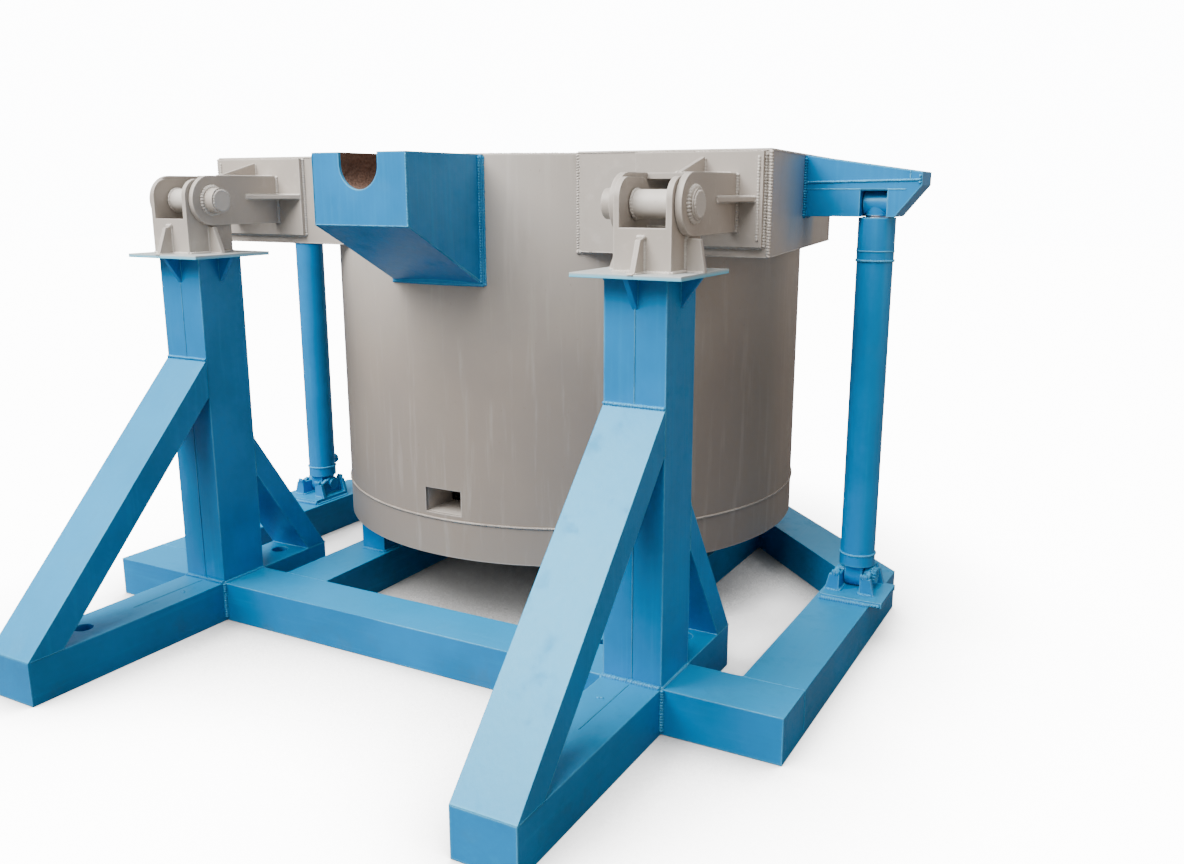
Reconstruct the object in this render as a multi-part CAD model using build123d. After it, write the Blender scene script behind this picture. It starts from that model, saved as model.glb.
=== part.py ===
from build123d import *
import math
import os

# Tilting crucible furnace: a welded base frame, two posts with trunnion pedestals, a round furnace body
# that tilts forward about its front trunnions, and two telescopic hydraulic cylinders that lift its rear.
# Millimetres. +Z is up, the spout faces -Y, and the origin is under the middle of the whole machine.

# base frame
beam_width = 200.0
beam_height = 150.0
beam_wall = 8.0
outer_rail_reach = 486.0         # from a post's middle out to the outer face of its outer rail
inner_rail_spacing = 328.0       # from a post's middle in to the middle of an inner rail
rail_end_margin = 266.0          # outer corner of a rail, behind the cylinder's axis
rear_beam_reach = 895.0          # back of the rear beam, behind the shell's axis
rear_beam_margin = 25.0          # from an inner rail's middle out to the rear beam's corner
front_foot_length = 810.0
rear_foot_length = 354.0
anchor_hole_d = 66.0
front_anchor_reach = 537.0       # from the front face of the front beam, forwards
rear_anchor_reach = 391.0        # from the same face, backwards

# posts and braces
post_width = 200.0
post_shift = 22.0                # a post's middle, inwards of its pedestal's
front_brace_top = 1015.0
front_brace_drop = 137.0         # measured on the post's face
rear_brace_top = 685.0
rear_brace_drop = 150.0
cap_size = 346.0
cap_thickness = 13.0
cap_rib_drop = 90.0
cap_rib_thickness = 16.0
cap_rib_margin = 8.0             # from a rib's end to the edge of the cap

# trunnions
trunnion_reach = 95.0            # behind the front face of the front beam
trunnion_rise = 188.0            # above the cap
trunnion_inset = 212.0           # from a side box's outer corner in to a pedestal's middle
pedestal_width = 180.0
pedestal_depth = 202.0
pedestal_wall = 18.0
pedestal_front_height = 124.0
pedestal_rib_height = 98.0
pedestal_rib_foot = 62.0
pedestal_rib_head = 26.0
pedestal_outer_rib_head = 46.0
pedestal_ear_rise = 76.0         # top of an ear, above the trunnion's axis
pedestal_ear_corner = 62.0
pedestal_rib_slant = 6.0
pin_d = 70.0
bush_wall = 8.0
running_clearance = 0.05         # radial, between a pin and its bush
arm_gap = 2.0                    # between a pedestal ear and a trunnion arm
arm_thickness = 20.0
arm_radius = 88.0
boss_d = 90.0
inner_boss_length = 48.0        # the boss towards the body is the longer one
outer_boss_length = 16.0
spacer_wall = 6.0
spacer_play = 2.0                # between the spacer and each ear
pin_overhang = 4.0
trunnion_plate_width = 428.0
trunnion_plate_margin = 17.0     # from its outer edge to the side box's corner
trunnion_plate_drop = 133.0      # below the trunnion's axis
trunnion_plate_thickness = 20.0
cover_plate_length = 203.0
cover_plate_thickness = 18.0
gusset_thickness = 14.0
inner_gusset_width = 118.0
outer_gusset_width = 62.0
gusset_length = 165.0
gusset_rise = 11.0               # middle of a level gusset, above the trunnion's axis
top_gusset_height = 50.0
top_gusset_margin = 15.0

# furnace body
shell_radius = 953.0
shell_wall = 12.0
shell_height = 1433.0
shell_rise = 153.0               # its top, above the trunnion's axis
shell_reach = 207.0              # its front, behind the trunnion's axis
band_height = 142.0
wing_reach = 344.0               # front of a side box, behind the trunnion's axis
wing_overhang = 204.0            # its front corner, outwards of the shell
wing_back_overhang = 39.0
wing_back_reach = 383.0          # its back, behind the shell's axis
wing_inner_x = 300.0
wing_height = 325.0
wing_rise = 8.0                  # its top, above the shell's
wing_wall = 12.0
weld_gap = 0.3                   # between curved faces that are welded together
window_width = 156.0
window_rise = 21.0               # its sill, above the band
window_height = 92.0
window_depth = 150.0
window_wall = 10.0
rest_block_shift = 24.0          # inwards of the inner rail's middle
rest_block_width = 113.0
rest_block_length = 150.0
rest_block_height = 155.0        # from the inner rails up to the body
rest_block_offset = 605.0        # from the shell's axis, forwards and backwards

# spout
spout_half_width = 186.0
spout_length = 376.0             # in front of the shell
spout_front_depth = 224.0
spout_back_depth = 423.0
spout_wall = 10.0
spout_flange_margin = 10.0
notch_radius = 76.0
notch_depth = 114.0
channel_wall = 42.0
channel_floor = 79.0

# crucible, coil and what holds them
crucible_bore_radius = 430.0
crucible_foot_radius = 400.0
crucible_wall = 110.0
crucible_bed = 160.0             # under the melt
bottom_bed = 155.0               # firebrick under the crucible
top_ring_height = 138.0
top_ring_radius = 700.0
mouth_radius = 450.0
cover_hole_radius = 600.0
grout_wall = 18.0
coil_tube_d = 32.0
coil_pitch = 54.0
coil_foot = 85.0                 # first turn, above the crucible's foot
coil_head = 171.0                # last turn, below the crucible's top
yoke_count = 8
yoke_width = 150.0
yoke_depth = 70.0
yoke_foot = 60.0
yoke_head = 100.0
jack_bolt_d = 36.0
jack_bolt_margin = 150.0
jack_nut_length = 30.0
bottom_plate_thickness = 20.0

# lift arms and hydraulic cylinders
cylinder_inset = 87.0            # from the outer rail's outer face in to the cylinder's axis
cylinder_reach = 160.0           # in front of the shell's axis
foot_pin_rise = 46.0             # above the foot plate
lift_pin_drop = 7.0              # below the trunnion's axis
lift_pin_d = 50.0
lift_arm_depth = 140.0
lift_arm_wall = 14.0
lift_arm_drop = 46.0             # its underside, below the lift pin
lift_arm_root = 117.0            # inside the side box's front corner, before it is cut to the box
lift_arm_corner = 74.0           # outwards of the cylinder's axis
lift_arm_end = 160.0
lift_arm_end_rise = 60.0         # lower edge of its end, above the lift pin
lift_arm_end_height = 44.0
slot_half_width = 46.0
slot_rise = 46.0                 # above the lift pin
lug_thickness = 20.0
pin_recess = 1.0
rod_d = 80.0
sleeve_od = 100.0
sleeve_bore = 84.0
barrel_od = 126.0
barrel_bore = 104.0
barrel_rise = 42.0               # bottom of the tube, above the foot pin
gland_drop = 49.0                # top of the gland, below the lift pin
gland_length = 147.0
gland_od = 129.0
foot_ring_length = 42.0
barrel_floor = 22.0
piston_length = 50.0
sleeve_skirt = 50.0              # under the sleeve's piston, opposite the oil port
sleeve_bearing = 70.0
sleeve_head = 2.0                # how far the sleeve stands out of the gland when closed
rod_head = 5.0                   # how far the rod stands out of the sleeve when closed
foot_eye_radius = 44.0
foot_eye_width = 66.0
rod_eye_radius = 42.0
rod_eye_width = 84.0
foot_ear_gap = 5.0               # between the foot eye and an ear
foot_ear_thickness = 20.0
foot_ear_front = 98.0            # in front of the foot pin
foot_ear_back = 66.0
foot_ear_shoulder = 16.0         # above the foot pin
foot_ear_radius = 38.0
foot_stiffener_thickness = 16.0
foot_stiffener_head = 18.0       # outwards of the ear
foot_stiffener_foot = 34.0
foot_pin_overhang = 12.0
foot_plate_width = 226.0
foot_plate_length = 216.0
foot_plate_lead = 42.0           # its middle, in front of the foot pin
foot_plate_thickness = 20.0
foot_plate_shift = 20.0          # outwards from the cylinder's axis
port_boss_d = 46.0
port_bore_d = 20.0
port_passage_d = 12.0
port_depth = 34.0                # of the wide bore
port_boss_length = 30.0
port_rise = 60.0                 # above the bottom of the tube

# places across the machine
wing_half_width = shell_radius + wing_overhang
wing_back_half_width = shell_radius + wing_back_overhang
trunnion_plate_x = wing_half_width - trunnion_plate_margin - trunnion_plate_width / 2
trunnion_x = wing_half_width - trunnion_inset
post_x = trunnion_x - post_shift
base_half_width = post_x + outer_rail_reach
inner_rail_x = post_x - inner_rail_spacing
rest_block_x = inner_rail_x - rest_block_shift
rear_beam_half_width = inner_rail_x + rear_beam_margin
cylinder_x = base_half_width - cylinder_inset
lift_arm_root_x = wing_half_width - lift_arm_root
lift_arm_corner_x = cylinder_x + lift_arm_corner
lift_arm_end_x = cylinder_x + lift_arm_end
channel_block_half_width = notch_radius + channel_wall

# places along the machine, which reaches from the toes of the front feet to the back of the shell
machine_length = front_foot_length + trunnion_reach + shell_reach + 2 * shell_radius
front_beam_y = front_foot_length - machine_length / 2
front_beam_back_y = front_beam_y + beam_width
trunnion_y = front_beam_y + trunnion_reach
shell_front_y = trunnion_y + shell_reach
shell_centre_y = shell_front_y + shell_radius
wing_face_y = trunnion_y + wing_reach
wing_back_y = shell_centre_y + wing_back_reach
trunnion_plate_y = wing_face_y - trunnion_plate_thickness
spout_face_y = shell_front_y - spout_length
cylinder_y = shell_centre_y - cylinder_reach
outer_rail_end_y = cylinder_y + rail_end_margin
rear_beam_back_y = shell_centre_y + rear_beam_reach
lift_arm_front_y = cylinder_y - lift_arm_depth / 2
lift_arm_back_y = cylinder_y + lift_arm_depth / 2

# heights
shell_bottom = beam_height + rest_block_height
shell_top = shell_bottom + shell_height
trunnion_z = shell_top - shell_rise
cap_top = trunnion_z - trunnion_rise
post_top = cap_top - cap_thickness
pedestal_front_top = cap_top + pedestal_front_height
gusset_z = trunnion_z + gusset_rise
band_z = shell_bottom + band_height
wing_top = shell_top + wing_rise
wing_bottom = wing_top - wing_height
trunnion_plate_bottom = trunnion_z - trunnion_plate_drop
trunnion_plate_top = shell_top
window_bottom = band_z + window_rise
spout_front_bottom = shell_top - spout_front_depth
spout_back_bottom = shell_top - spout_back_depth
notch_bottom = shell_top - notch_depth
channel_block_bottom = notch_bottom - channel_floor
lining_bottom = shell_bottom + bottom_plate_thickness + bottom_bed
lining_top = shell_top - top_ring_height
crucible_floor = lining_bottom + crucible_bed
coil_start_z = lining_bottom + coil_foot
coil_turns = round((lining_top - coil_head - coil_start_z) / coil_pitch)
yoke_bottom = lining_bottom + yoke_foot
yoke_top = lining_top - yoke_head
lift_pin_z = trunnion_z - lift_pin_drop
lift_arm_bottom = lift_pin_z - lift_arm_drop
lift_arm_end_bottom = lift_pin_z + lift_arm_end_rise
lift_arm_end_top = lift_arm_end_bottom + lift_arm_end_height
slot_top = lift_pin_z + slot_rise
foot_plate_top = beam_height + foot_plate_thickness
foot_pin_z = foot_plate_top + foot_pin_rise
barrel_bottom = foot_pin_z + barrel_rise
gland_top = lift_pin_z - gland_drop
gland_bottom = gland_top - gland_length
rod_top = gland_top + sleeve_head + rod_head
port_z = barrel_bottom + port_rise

# other sizes worked out from those above
ear_outer = pedestal_width / 2
bush_bore_d = pin_d + 2 * running_clearance
bush_od = bush_bore_d + 2 * bush_wall
arm_inner = ear_outer + arm_gap
arm_outer = arm_inner + arm_thickness
inner_boss_face = arm_outer + inner_boss_length
outer_boss_face = arm_outer + outer_boss_length
foot_ear_inner = foot_eye_width / 2 + foot_ear_gap
foot_ear_outer = foot_ear_inner + foot_ear_thickness
lining_outer_radius = crucible_bore_radius + crucible_wall
grout_outer_radius = lining_outer_radius + weld_gap + grout_wall
coil_radius = grout_outer_radius + weld_gap + coil_tube_d / 2
yoke_inner_radius = coil_radius + coil_tube_d / 2 + weld_gap
shell_bore_radius = shell_radius - shell_wall


def block(x1, x2, y1, y2, z1, z2):
    """A box between two corners."""
    size = Box(x2 - x1, y2 - y1, z2 - z1)
    return Pos((x1 + x2) / 2, (y1 + y2) / 2, (z1 + z2) / 2) * size


def prism_x(outline_yz, x1, x2):
    """A side outline, drawn in Y and Z, carried along X."""
    wire = Polyline(*[(x1, y, z) for y, z in outline_yz], close=True)
    return extrude(make_face(wire), amount=x2 - x1, dir=(1, 0, 0))


def prism_y(outline_xz, y1, y2):
    """A front outline, drawn in X and Z, carried along Y."""
    wire = Polyline(*[(x, y1, z) for x, z in outline_xz], close=True)
    return extrude(make_face(wire), amount=y2 - y1, dir=(0, 1, 0))


def prism_z(outline_xy, z1, z2):
    """A plan outline, drawn in X and Y, carried along Z."""
    wire = Polyline(*[(x, y, z1) for x, y in outline_xy], close=True)
    return extrude(make_face(wire), amount=z2 - z1, dir=(0, 0, 1))


def inset_prism_z(outline_xy, z1, z2, wall):
    """The same plan outline drawn in by a wall, and shorter by it at both ends."""
    face = make_face(Polyline(*[(x, y, 0) for x, y in outline_xy], close=True))
    inner = Pos(0, 0, z1 + wall) * offset(face, -wall, kind=Kind.INTERSECTION)
    return extrude(inner, amount=z2 - z1 - 2 * wall, dir=(0, 0, 1))


def inset_prism_x(outline_yz, x1, x2, wall):
    """The same side outline drawn in by a wall, and shorter by it at both ends."""
    plane = Plane(origin=(x1 + wall, 0, 0), x_dir=(0, 1, 0), z_dir=(1, 0, 0))
    face = make_face(Polyline(*[(y, z) for y, z in outline_yz], close=True))
    inner = plane * offset(face, -wall, kind=Kind.INTERSECTION)
    return extrude(inner, amount=x2 - x1 - 2 * wall, dir=(1, 0, 0))


def bar_z(x, y, z1, z2, radius):
    """A round bar standing along Z."""
    return Pos(x, y, (z1 + z2) / 2) * Cylinder(radius, z2 - z1)


def bar_x(x1, x2, y, z, radius):
    """A round bar lying along X."""
    return Pos((x1 + x2) / 2, y, z) * Rot(0, 90, 0) * Cylinder(radius, x2 - x1)


def bar_y(x, y1, y2, z, radius):
    """A round bar lying along Y."""
    return Pos(x, (y1 + y2) / 2, z) * Rot(90, 0, 0) * Cylinder(radius, y2 - y1)


def to_left(shape):
    """The same piece on the other side of the machine."""
    return mirror(shape, about=Plane.YZ)


def hollow_beam(outline_xy):
    """A box beam of the base frame, closed at its ends."""
    outside = prism_z(outline_xy, 0, beam_height)
    return outside - inset_prism_z(outline_xy, 0, beam_height, beam_wall)


def rectangle_outline(x1, x2, y1, y2):
    return [(x1, y1), (x2, y1), (x2, y2), (x1, y2)]


def front_cross_beam():
    outline = rectangle_outline(-base_half_width, base_half_width, front_beam_y, front_beam_back_y)
    return hollow_beam(outline)


def diagonal_y(x, inset):
    """Y on the outer face of a rear diagonal, or on a line drawn in from it, at a given X."""
    across = base_half_width - rear_beam_half_width
    along = rear_beam_back_y - outer_rail_end_y
    return outer_rail_end_y + ((base_half_width - x) * along - inset * math.hypot(across, along)) / across


def diagonal_x(y, inset):
    """X on the same line, at a given Y."""
    across = base_half_width - rear_beam_half_width
    along = rear_beam_back_y - outer_rail_end_y
    return base_half_width + ((outer_rail_end_y - y) * across - inset * math.hypot(across, along)) / along


def outer_rail():
    inner_x = base_half_width - beam_width
    outline = [
        (inner_x, front_beam_back_y),
        (base_half_width, front_beam_back_y),
        (base_half_width, outer_rail_end_y),
        (inner_x, diagonal_y(inner_x, beam_width)),
    ]
    return hollow_beam(outline)


def rear_diagonal():
    inner_x = base_half_width - beam_width
    rear_beam_front_y = rear_beam_back_y - beam_width
    outline = [
        (inner_x, diagonal_y(inner_x, beam_width)),
        (base_half_width, outer_rail_end_y),
        (rear_beam_half_width, rear_beam_back_y),
        (diagonal_x(rear_beam_front_y, beam_width), rear_beam_front_y),
    ]
    return hollow_beam(outline)


def rear_cross_beam():
    rear_beam_front_y = rear_beam_back_y - beam_width
    front_x = diagonal_x(rear_beam_front_y, beam_width)
    outline = [
        (-rear_beam_half_width, rear_beam_back_y),
        (-front_x, rear_beam_front_y),
        (front_x, rear_beam_front_y),
        (rear_beam_half_width, rear_beam_back_y),
    ]
    return hollow_beam(outline)


def inner_rail():
    """Beam from the front beam to whatever closes the frame behind it."""
    rear_beam_front_y = rear_beam_back_y - beam_width
    inner_half = base_half_width - beam_width
    room = [
        (-inner_half, front_beam_back_y),
        (inner_half, front_beam_back_y),
        (inner_half, diagonal_y(inner_half, beam_width)),
        (diagonal_x(rear_beam_front_y, beam_width), rear_beam_front_y),
        (-diagonal_x(rear_beam_front_y, beam_width), rear_beam_front_y),
        (-inner_half, diagonal_y(inner_half, beam_width)),
    ]
    strip = rectangle_outline(inner_rail_x - beam_width / 2, inner_rail_x + beam_width / 2,
                              front_beam_back_y, rear_beam_back_y)
    outside = prism_z(strip, 0, beam_height) & prism_z(room, 0, beam_height)
    plan = outside.faces().sort_by(Axis.Z)[0]
    inside = extrude(Pos(0, 0, beam_wall) * offset(plan, -beam_wall, kind=Kind.INTERSECTION),
                     amount=beam_height - 2 * beam_wall, dir=(0, 0, 1))
    return outside - inside


def drilled_foot(y1, y2, hole_y):
    """A foot beam with one anchor hole through it, lined by a short tube."""
    left = post_x - post_width / 2
    foot = hollow_beam(rectangle_outline(left, left + post_width, y1, y2))
    liner = bar_z(post_x, hole_y, 0, beam_height, anchor_hole_d / 2 + beam_wall)
    return foot + liner - bar_z(post_x, hole_y, -1, beam_height + 1, anchor_hole_d / 2)


def front_foot():
    return drilled_foot(front_beam_y - front_foot_length, front_beam_y, front_beam_y - front_anchor_reach)


def rear_foot():
    end_y = front_beam_back_y + rear_foot_length
    return drilled_foot(front_beam_back_y, end_y, front_beam_y + rear_anchor_reach)


def post():
    outline = rectangle_outline(
        post_x - post_width / 2,
        post_x + post_width / 2,
        front_beam_y,
        front_beam_y + post_width,
    )
    outside = prism_z(outline, beam_height, post_top)
    return outside - inset_prism_z(outline, beam_height, post_top, beam_wall)


def brace(outline_yz):
    left = post_x - post_width / 2
    outside = prism_x(outline_yz, left, left + post_width)
    return outside - inset_prism_x(outline_yz, left, left + post_width, beam_wall)


def front_brace():
    toe_y = front_beam_y - front_foot_length
    slope = (front_brace_top - beam_height) / front_foot_length
    heel_y = front_beam_y - (front_brace_top - front_brace_drop - beam_height) / slope
    outline = [
        (toe_y, beam_height),
        (front_beam_y, front_brace_top),
        (front_beam_y, front_brace_top - front_brace_drop),
        (heel_y, beam_height),
    ]
    return brace(outline)


def rear_brace():
    post_back_y = front_beam_y + post_width
    slope = (rear_brace_top - beam_height) / rear_foot_length
    heel_y = post_back_y + (rear_brace_top - rear_brace_drop - beam_height) / slope
    outline = [
        (post_back_y, rear_brace_top),
        (post_back_y + rear_foot_length, beam_height),
        (heel_y, beam_height),
        (post_back_y, rear_brace_top - rear_brace_drop),
    ]
    return brace(outline)


def post_cap():
    """Square plate on the post, with a triangular rib under each overhang."""
    centre_y = front_beam_y + post_width / 2
    half = cap_size / 2
    overhang = half - post_width / 2
    plate = block(post_x - half, post_x + half, centre_y - half, centre_y + half, post_top, cap_top)
    half_rib = cap_rib_thickness / 2
    for side in (-1, 1):
        face_y = centre_y + side * post_width / 2
        outline = [
            (face_y, post_top),
            (face_y + side * (overhang - cap_rib_margin), post_top),
            (face_y, post_top - cap_rib_drop),
        ]
        plate += prism_x(outline, post_x - half_rib, post_x + half_rib)
        face_x = post_x + side * post_width / 2
        outline = [
            (face_x, post_top),
            (face_x + side * (overhang - cap_rib_margin), post_top),
            (face_x, post_top - cap_rib_drop),
        ]
        plate += prism_y(outline, centre_y - half_rib, centre_y + half_rib)
    return plate


def pedestal():
    """Box with two rounded ears that carry the trunnion pin."""
    half_depth = pedestal_depth / 2
    left = trunnion_x - ear_outer
    right = trunnion_x + ear_outer
    front = trunnion_y - half_depth
    back = trunnion_y + half_depth
    body = block(left, right, front, back, cap_top, pedestal_front_top)
    body -= block(left + pedestal_wall, right - pedestal_wall, front + pedestal_wall,
                  back - pedestal_wall, cap_top, pedestal_front_top)
    ear_top = trunnion_z + pedestal_ear_rise
    corner_z = ear_top - pedestal_ear_corner
    for x1 in (left, right - pedestal_wall):
        x2 = x1 + pedestal_wall
        body += block(x1, x2, front, back, cap_top, corner_z)
        body += block(x1, x2, front + pedestal_ear_corner, back - pedestal_ear_corner, corner_z, ear_top)
        body += bar_x(x1, x2, front + pedestal_ear_corner, corner_z, pedestal_ear_corner)
        body += bar_x(x1, x2, back - pedestal_ear_corner, corner_z, pedestal_ear_corner)
    body -= bar_x(left - 1, right + 1, trunnion_y, trunnion_z, bush_od / 2)
    rib_top = cap_top + pedestal_rib_height
    half_rib = cap_rib_thickness / 2
    for side in (-1, 1):
        face_y = trunnion_y + side * half_depth
        outline = [
            (face_y, cap_top),
            (face_y + side * pedestal_rib_foot, cap_top),
            (face_y + side * pedestal_rib_head, rib_top - pedestal_rib_slant),
            (face_y, rib_top),
        ]
        body += prism_x(outline, trunnion_x - half_rib, trunnion_x + half_rib)
        face_x = trunnion_x + side * ear_outer
        head = pedestal_outer_rib_head if side == 1 else pedestal_rib_head
        outline = [
            (face_x, cap_top),
            (face_x + side * pedestal_rib_foot, cap_top),
            (face_x + side * head, rib_top - pedestal_rib_slant),
            (face_x, rib_top),
        ]
        body += prism_y(outline, trunnion_y - half_rib, trunnion_y + half_rib)
    return body


def trunnion_bush(side, ear):
    """Bronze bush in one ear of one pedestal."""
    middle = side * trunnion_x + ear * (ear_outer - pedestal_wall / 2)
    half = pedestal_wall / 2
    ring = bar_x(middle - half, middle + half, trunnion_y, trunnion_z, bush_od / 2)
    return ring - bar_x(middle - half, middle + half, trunnion_y, trunnion_z, bush_bore_d / 2)


def trunnion_pin():
    inner_end = trunnion_x - inner_boss_face - pin_overhang
    outer_end = trunnion_x + outer_boss_face + pin_overhang
    return bar_x(inner_end, outer_end, trunnion_y, trunnion_z, pin_d / 2)


def pin_spacer():
    """Tube round the pin between the two ears of a pedestal."""
    half = ear_outer - pedestal_wall - spacer_play
    tube = bar_x(trunnion_x - half, trunnion_x + half, trunnion_y, trunnion_z, pin_d / 2 + spacer_wall)
    return tube - bar_x(trunnion_x - half, trunnion_x + half, trunnion_y, trunnion_z, bush_bore_d / 2)


def trunnion_arm(side):
    """Flat arm with a rounded end and a boss, on one side of a pedestal."""
    x1 = trunnion_x + side * arm_inner
    x2 = trunnion_x + side * arm_outer
    low, high = min(x1, x2), max(x1, x2)
    arm = block(low, high, trunnion_y, trunnion_plate_y, trunnion_z - arm_radius, trunnion_z + arm_radius)
    arm += bar_x(low, high, trunnion_y, trunnion_z, arm_radius)
    boss_end = trunnion_x + outer_boss_face if side == 1 else trunnion_x - inner_boss_face
    arm += bar_x(min(x2, boss_end), max(x2, boss_end), trunnion_y, trunnion_z, boss_d / 2)
    return arm - bar_x(low - inner_boss_length, high + outer_boss_length, trunnion_y, trunnion_z, pin_d / 2)


def arm_bracing():
    """Cover plate between the two arms, the upright gusset on it, and a level gusset outside each arm."""
    arm_top = trunnion_z + arm_radius
    cover_front = trunnion_plate_y - cover_plate_length
    cover = block(trunnion_x - arm_inner, trunnion_x + arm_inner, cover_front, trunnion_plate_y,
                  arm_top - cover_plate_thickness, arm_top)
    outline = [
        (cover_front + top_gusset_margin, arm_top),
        (trunnion_plate_y, arm_top),
        (trunnion_plate_y, arm_top + top_gusset_height),
    ]
    cover += prism_x(outline, trunnion_x - gusset_thickness / 2, trunnion_x + gusset_thickness / 2)
    gussets = [cover]
    for side, width in ((-1, inner_gusset_width), (1, outer_gusset_width)):
        face_x = trunnion_x + side * arm_outer
        outline = [
            (face_x, trunnion_plate_y),
            (face_x, trunnion_plate_y - gusset_length),
            (face_x + side * width, trunnion_plate_y),
        ]
        gussets.append(prism_z(outline, gusset_z - gusset_thickness / 2, gusset_z + gusset_thickness / 2))
    return Compound(children=gussets)


def trunnion_plate():
    half = trunnion_plate_width / 2
    return block(trunnion_plate_x - half, trunnion_plate_x + half, trunnion_plate_y, wing_face_y,
                 trunnion_plate_bottom, trunnion_plate_top)


def disc(radius, z1, z2):
    return bar_z(0, shell_centre_y, z1, z2, radius)


def ring(outer_radius, inner_radius, z1, z2):
    return disc(outer_radius, z1, z2) - disc(inner_radius, z1, z2)


def window_hole():
    half = window_width / 2
    return block(-half, half, shell_centre_y - shell_radius - 20, shell_centre_y - shell_radius / 2,
                 window_bottom, window_bottom + window_height)


def furnace_shell():
    shell = ring(shell_radius, shell_bore_radius, band_z, shell_top)
    slot = channel_block_half_width + weld_gap
    shell -= block(-slot, slot, shell_centre_y - shell_radius - 5, shell_centre_y,
                   channel_block_bottom - weld_gap, shell_top)
    return shell - window_hole()


def shell_base():
    """Lower ring of the shell with the bottom plate in it."""
    ring_part = ring(shell_radius, shell_bore_radius, shell_bottom, band_z)
    floor = disc(shell_bore_radius, shell_bottom, shell_bottom + bottom_plate_thickness)
    return ring_part + floor


def window_frame():
    """Four walls behind the run-out window, open at the front and at the back."""
    half = window_width / 2
    front = shell_centre_y - math.sqrt(shell_bore_radius**2 - (half + window_wall) ** 2) + weld_gap
    outside = block(-half - window_wall, half + window_wall, front, front + window_depth,
                    window_bottom - window_wall, window_bottom + window_height + window_wall)
    inside = block(-half, half, front, front + window_depth, window_bottom, window_bottom + window_height)
    return outside - inside


def top_cover():
    """Steel ring on top, with a gap for the pouring channel."""
    cover = ring(shell_bore_radius, cover_hole_radius, shell_top - shell_wall, shell_top)
    slot = channel_block_half_width + weld_gap
    return cover - block(-slot, slot, shell_centre_y - shell_radius, shell_centre_y,
                         shell_top - 2 * shell_wall, shell_top + 1)


def wing_outline(inset):
    """Plan outline of a side box: straight front, side drawn in towards the back."""
    run = wing_back_y - wing_face_y
    lean = (wing_half_width - wing_back_half_width) / run
    side_inset = inset * math.sqrt(1 + lean**2)
    front_y = wing_face_y + inset
    back_y = wing_back_y - inset
    front_x = wing_half_width - lean * inset - side_inset
    back_x = wing_half_width - lean * (run - inset) - side_inset
    return [(wing_inner_x, front_y), (front_x, front_y), (back_x, back_y), (wing_inner_x, back_y)]


def wing_box():
    outside = prism_z(wing_outline(0), wing_bottom, wing_top)
    outside -= disc(shell_radius + weld_gap, wing_bottom, wing_top)
    inside = prism_z(wing_outline(wing_wall), wing_bottom + wing_wall, wing_top - wing_wall)
    inside -= disc(shell_radius + weld_gap + wing_wall, wing_bottom, wing_top)
    walls = outside - inside
    return max(walls.solids(), key=lambda piece: piece.volume)


def spout_outline(inset):
    """Side outline of the spout from its face to the shell's axis."""
    run = shell_centre_y - shell_radius - spout_face_y
    slope = (spout_front_bottom - spout_back_bottom) / run
    lift = inset * math.sqrt(1 + slope**2)
    face_y = spout_face_y + inset
    back_y = shell_centre_y
    return [
        (face_y, shell_top),
        (face_y, spout_front_bottom - slope * inset + lift),
        (back_y, spout_front_bottom - slope * (back_y - spout_face_y) + lift),
        (back_y, shell_top),
    ]


def channel_hole(y1, y2):
    """The U-shaped pouring channel."""
    centre_z = notch_bottom + notch_radius
    hole = bar_y(0, y1, y2, centre_z, notch_radius)
    return hole + block(-notch_radius, notch_radius, y1, y2, centre_z, shell_top + 1)


def spout_shell():
    """Steel box, open on top, on a curved flange that lies on the shell."""
    outside = prism_x(spout_outline(0), -spout_half_width, spout_half_width)
    inside_half = spout_half_width - spout_wall
    inside = prism_x(spout_outline(spout_wall), -inside_half, inside_half)
    flange_half = spout_half_width + spout_flange_margin
    flange = block(-flange_half, flange_half, spout_face_y, shell_centre_y,
                   spout_back_bottom - spout_flange_margin, shell_top)
    flange = flange & disc(shell_radius + weld_gap + spout_wall, shell_bottom, shell_top)
    spout = outside + flange
    spout -= disc(shell_radius + weld_gap, shell_bottom, shell_top)
    spout -= inside
    spout -= channel_hole(spout_face_y - 1, spout_face_y + spout_wall + 1)
    return max(spout.solids(), key=lambda piece: piece.volume)


def spout_lining():
    """Rammed block that fills the spout and carries the channel through to the top ring."""
    inside_half = spout_half_width - spout_wall
    fill = prism_x(spout_outline(spout_wall), -inside_half, inside_half)
    fill -= disc(shell_radius + weld_gap, shell_bottom, shell_top + 1)
    tongue = block(-channel_block_half_width, channel_block_half_width,
                   shell_centre_y - shell_radius - 40, shell_centre_y, channel_block_bottom, shell_top)
    tongue -= disc(top_ring_radius + weld_gap, channel_block_bottom - 1, shell_top + 1)
    lining = fill + tongue
    lining -= channel_hole(spout_face_y, shell_centre_y)
    return max(lining.solids(), key=lambda piece: piece.volume)


def top_ring():
    """Castable ring round the mouth, with the channel cut through its front."""
    cap = ring(top_ring_radius, crucible_bore_radius, lining_top, shell_top)
    cap -= ring(top_ring_radius + 1, cover_hole_radius - weld_gap, shell_top - shell_wall, shell_top + 1)
    flare = Pos(0, shell_centre_y, (lining_top + shell_top) / 2) * Cone(
        crucible_bore_radius, mouth_radius, shell_top - lining_top)
    cap -= flare
    return cap - channel_hole(shell_centre_y - shell_radius, shell_centre_y)


def crucible_lining():
    """Rammed crucible, a little narrower at its foot."""
    pot = disc(lining_outer_radius, lining_bottom, lining_top)
    bore = Pos(0, shell_centre_y, (crucible_floor + lining_top) / 2) * Cone(
        crucible_foot_radius, crucible_bore_radius, lining_top - crucible_floor)
    return pot - bore


def coil_grout():
    return ring(grout_outer_radius, lining_outer_radius + weld_gap, lining_bottom, lining_top)


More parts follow.
